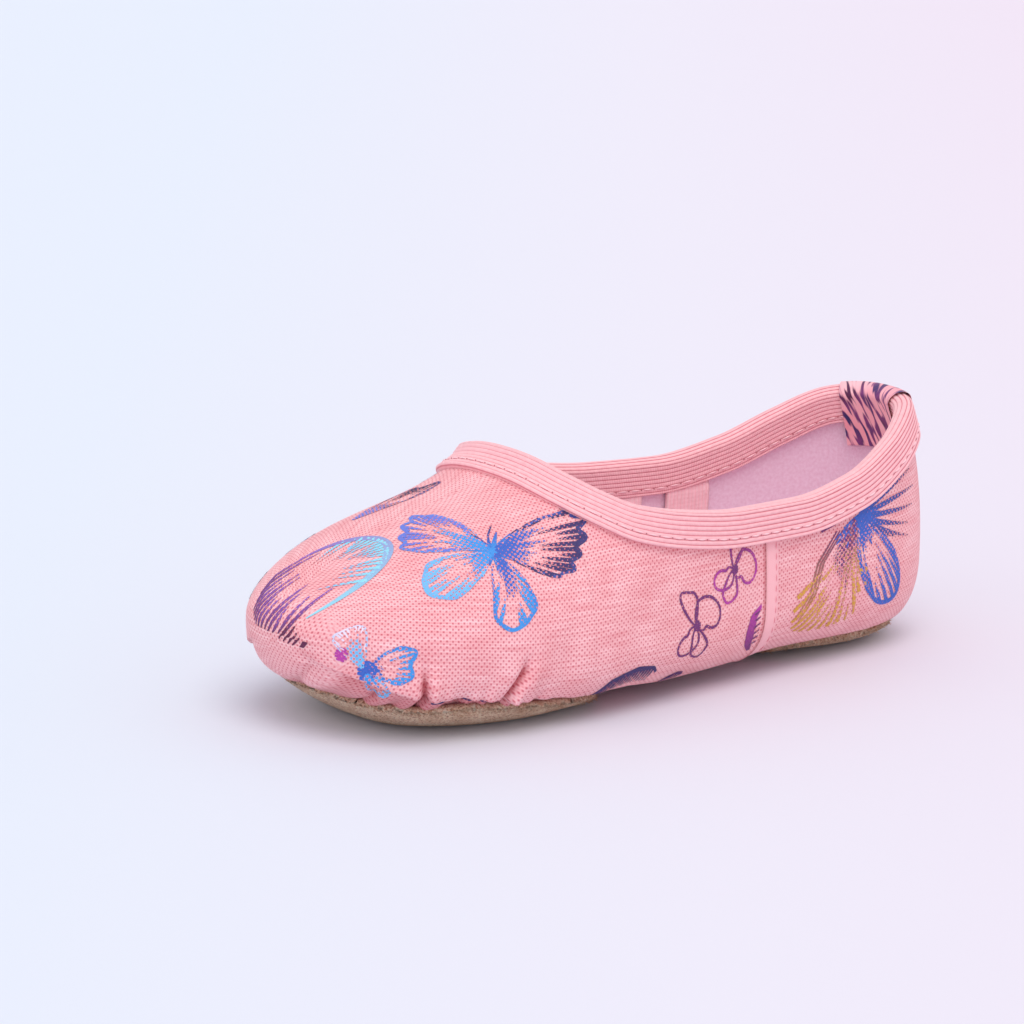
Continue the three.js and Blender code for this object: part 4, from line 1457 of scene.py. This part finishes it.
def make_world(colour, strength):
    world = bpy.data.worlds.new("studio")
    world.use_nodes = True
    background = world.node_tree.nodes["Background"]
    background.inputs["Color"].default_value = linear_colour(colour)
    background.inputs["Strength"].default_value = strength
    bpy.context.scene.world = world


make_camera()
make_floor()
make_world("F8F4FA", 0.9)
soft_sun("overhead_softbox", (0.15, 0.45, 0.88), 1.02, 40.0, "FFFAF5")
soft_sun("side_softbox", (0.75, 0.35, 0.4), 0.36, 60.0, "FAF8FF")
bpy.context.scene.view_settings.view_transform = "Standard"

canvas = canvas_material()
ink = ink_material()
lining_cloth = lining_material()
# The darker of the two colours is painted shade in the grooves
binding_elastic = elastic_material("ribbed_binding_elastic", "FCC4C9", "DC7F8B", RIB_PITCH)
strap_elastic = elastic_material("flat_strap_elastic", "FFD3D8", "FFC8CE", 0.9)
suede = suede_material()

finish_piece(make_vamp(), canvas, "canvas", "upper")
finish_piece(make_quarters(), canvas, "canvas", "upper")
finish_piece(make_seam_tape(), tape_material(), "canvas")
finish_piece(make_lining(), lining_cloth, "lining", "upper")
edge, places, total = collar_loop(0.5)
rails, run = collar_rails(edge, TAB_DROP + 1.0, RAIL_STEP)
finish_piece(make_binding(edge, rails, run, places), binding_elastic, "elastic", "collar_binding")
finish_piece(make_tab(edge, rails, run, places, total), tab_material(), "printed_tab", "heel_tab")
stitching, holes = collar_stitches(edge, rails, run, places, total)
finish_piece(stitching, thread_material("sewing_thread_pale", "FBCBD1"), "elastic")
# The needle holes' dark colour is painted shade
finish_piece(holes, thread_material("needle_hole_shadow", "BE6E79"), "elastic")
finish_piece(seam_stitches(), thread_material("sewing_thread_pink", "F3A5B1"), "canvas")
finish_piece(make_pad("forefoot_suede", FOREFOOT_PAD), suede, "suede", "forefoot_sole")
finish_piece(make_pad("heel_suede", HEEL_PAD), suede, "suede", "heel_sole")
finish_piece(make_fibres(((FOREFOOT_PAD, 2600), (HEEL_PAD, 1000))), suede, "suede")
finish_piece(make_sock(), lining_cloth, "lining", "insole")
finish_piece(make_strap("instep_elastic_a", 0.355, 0.25, 0), strap_elastic, "elastic", "instep_strap_a")
finish_piece(make_strap("instep_elastic_b", 0.25, 0.355, 1), strap_elastic, "elastic", "instep_strap_b")
near_print(ink)
far_print(ink)
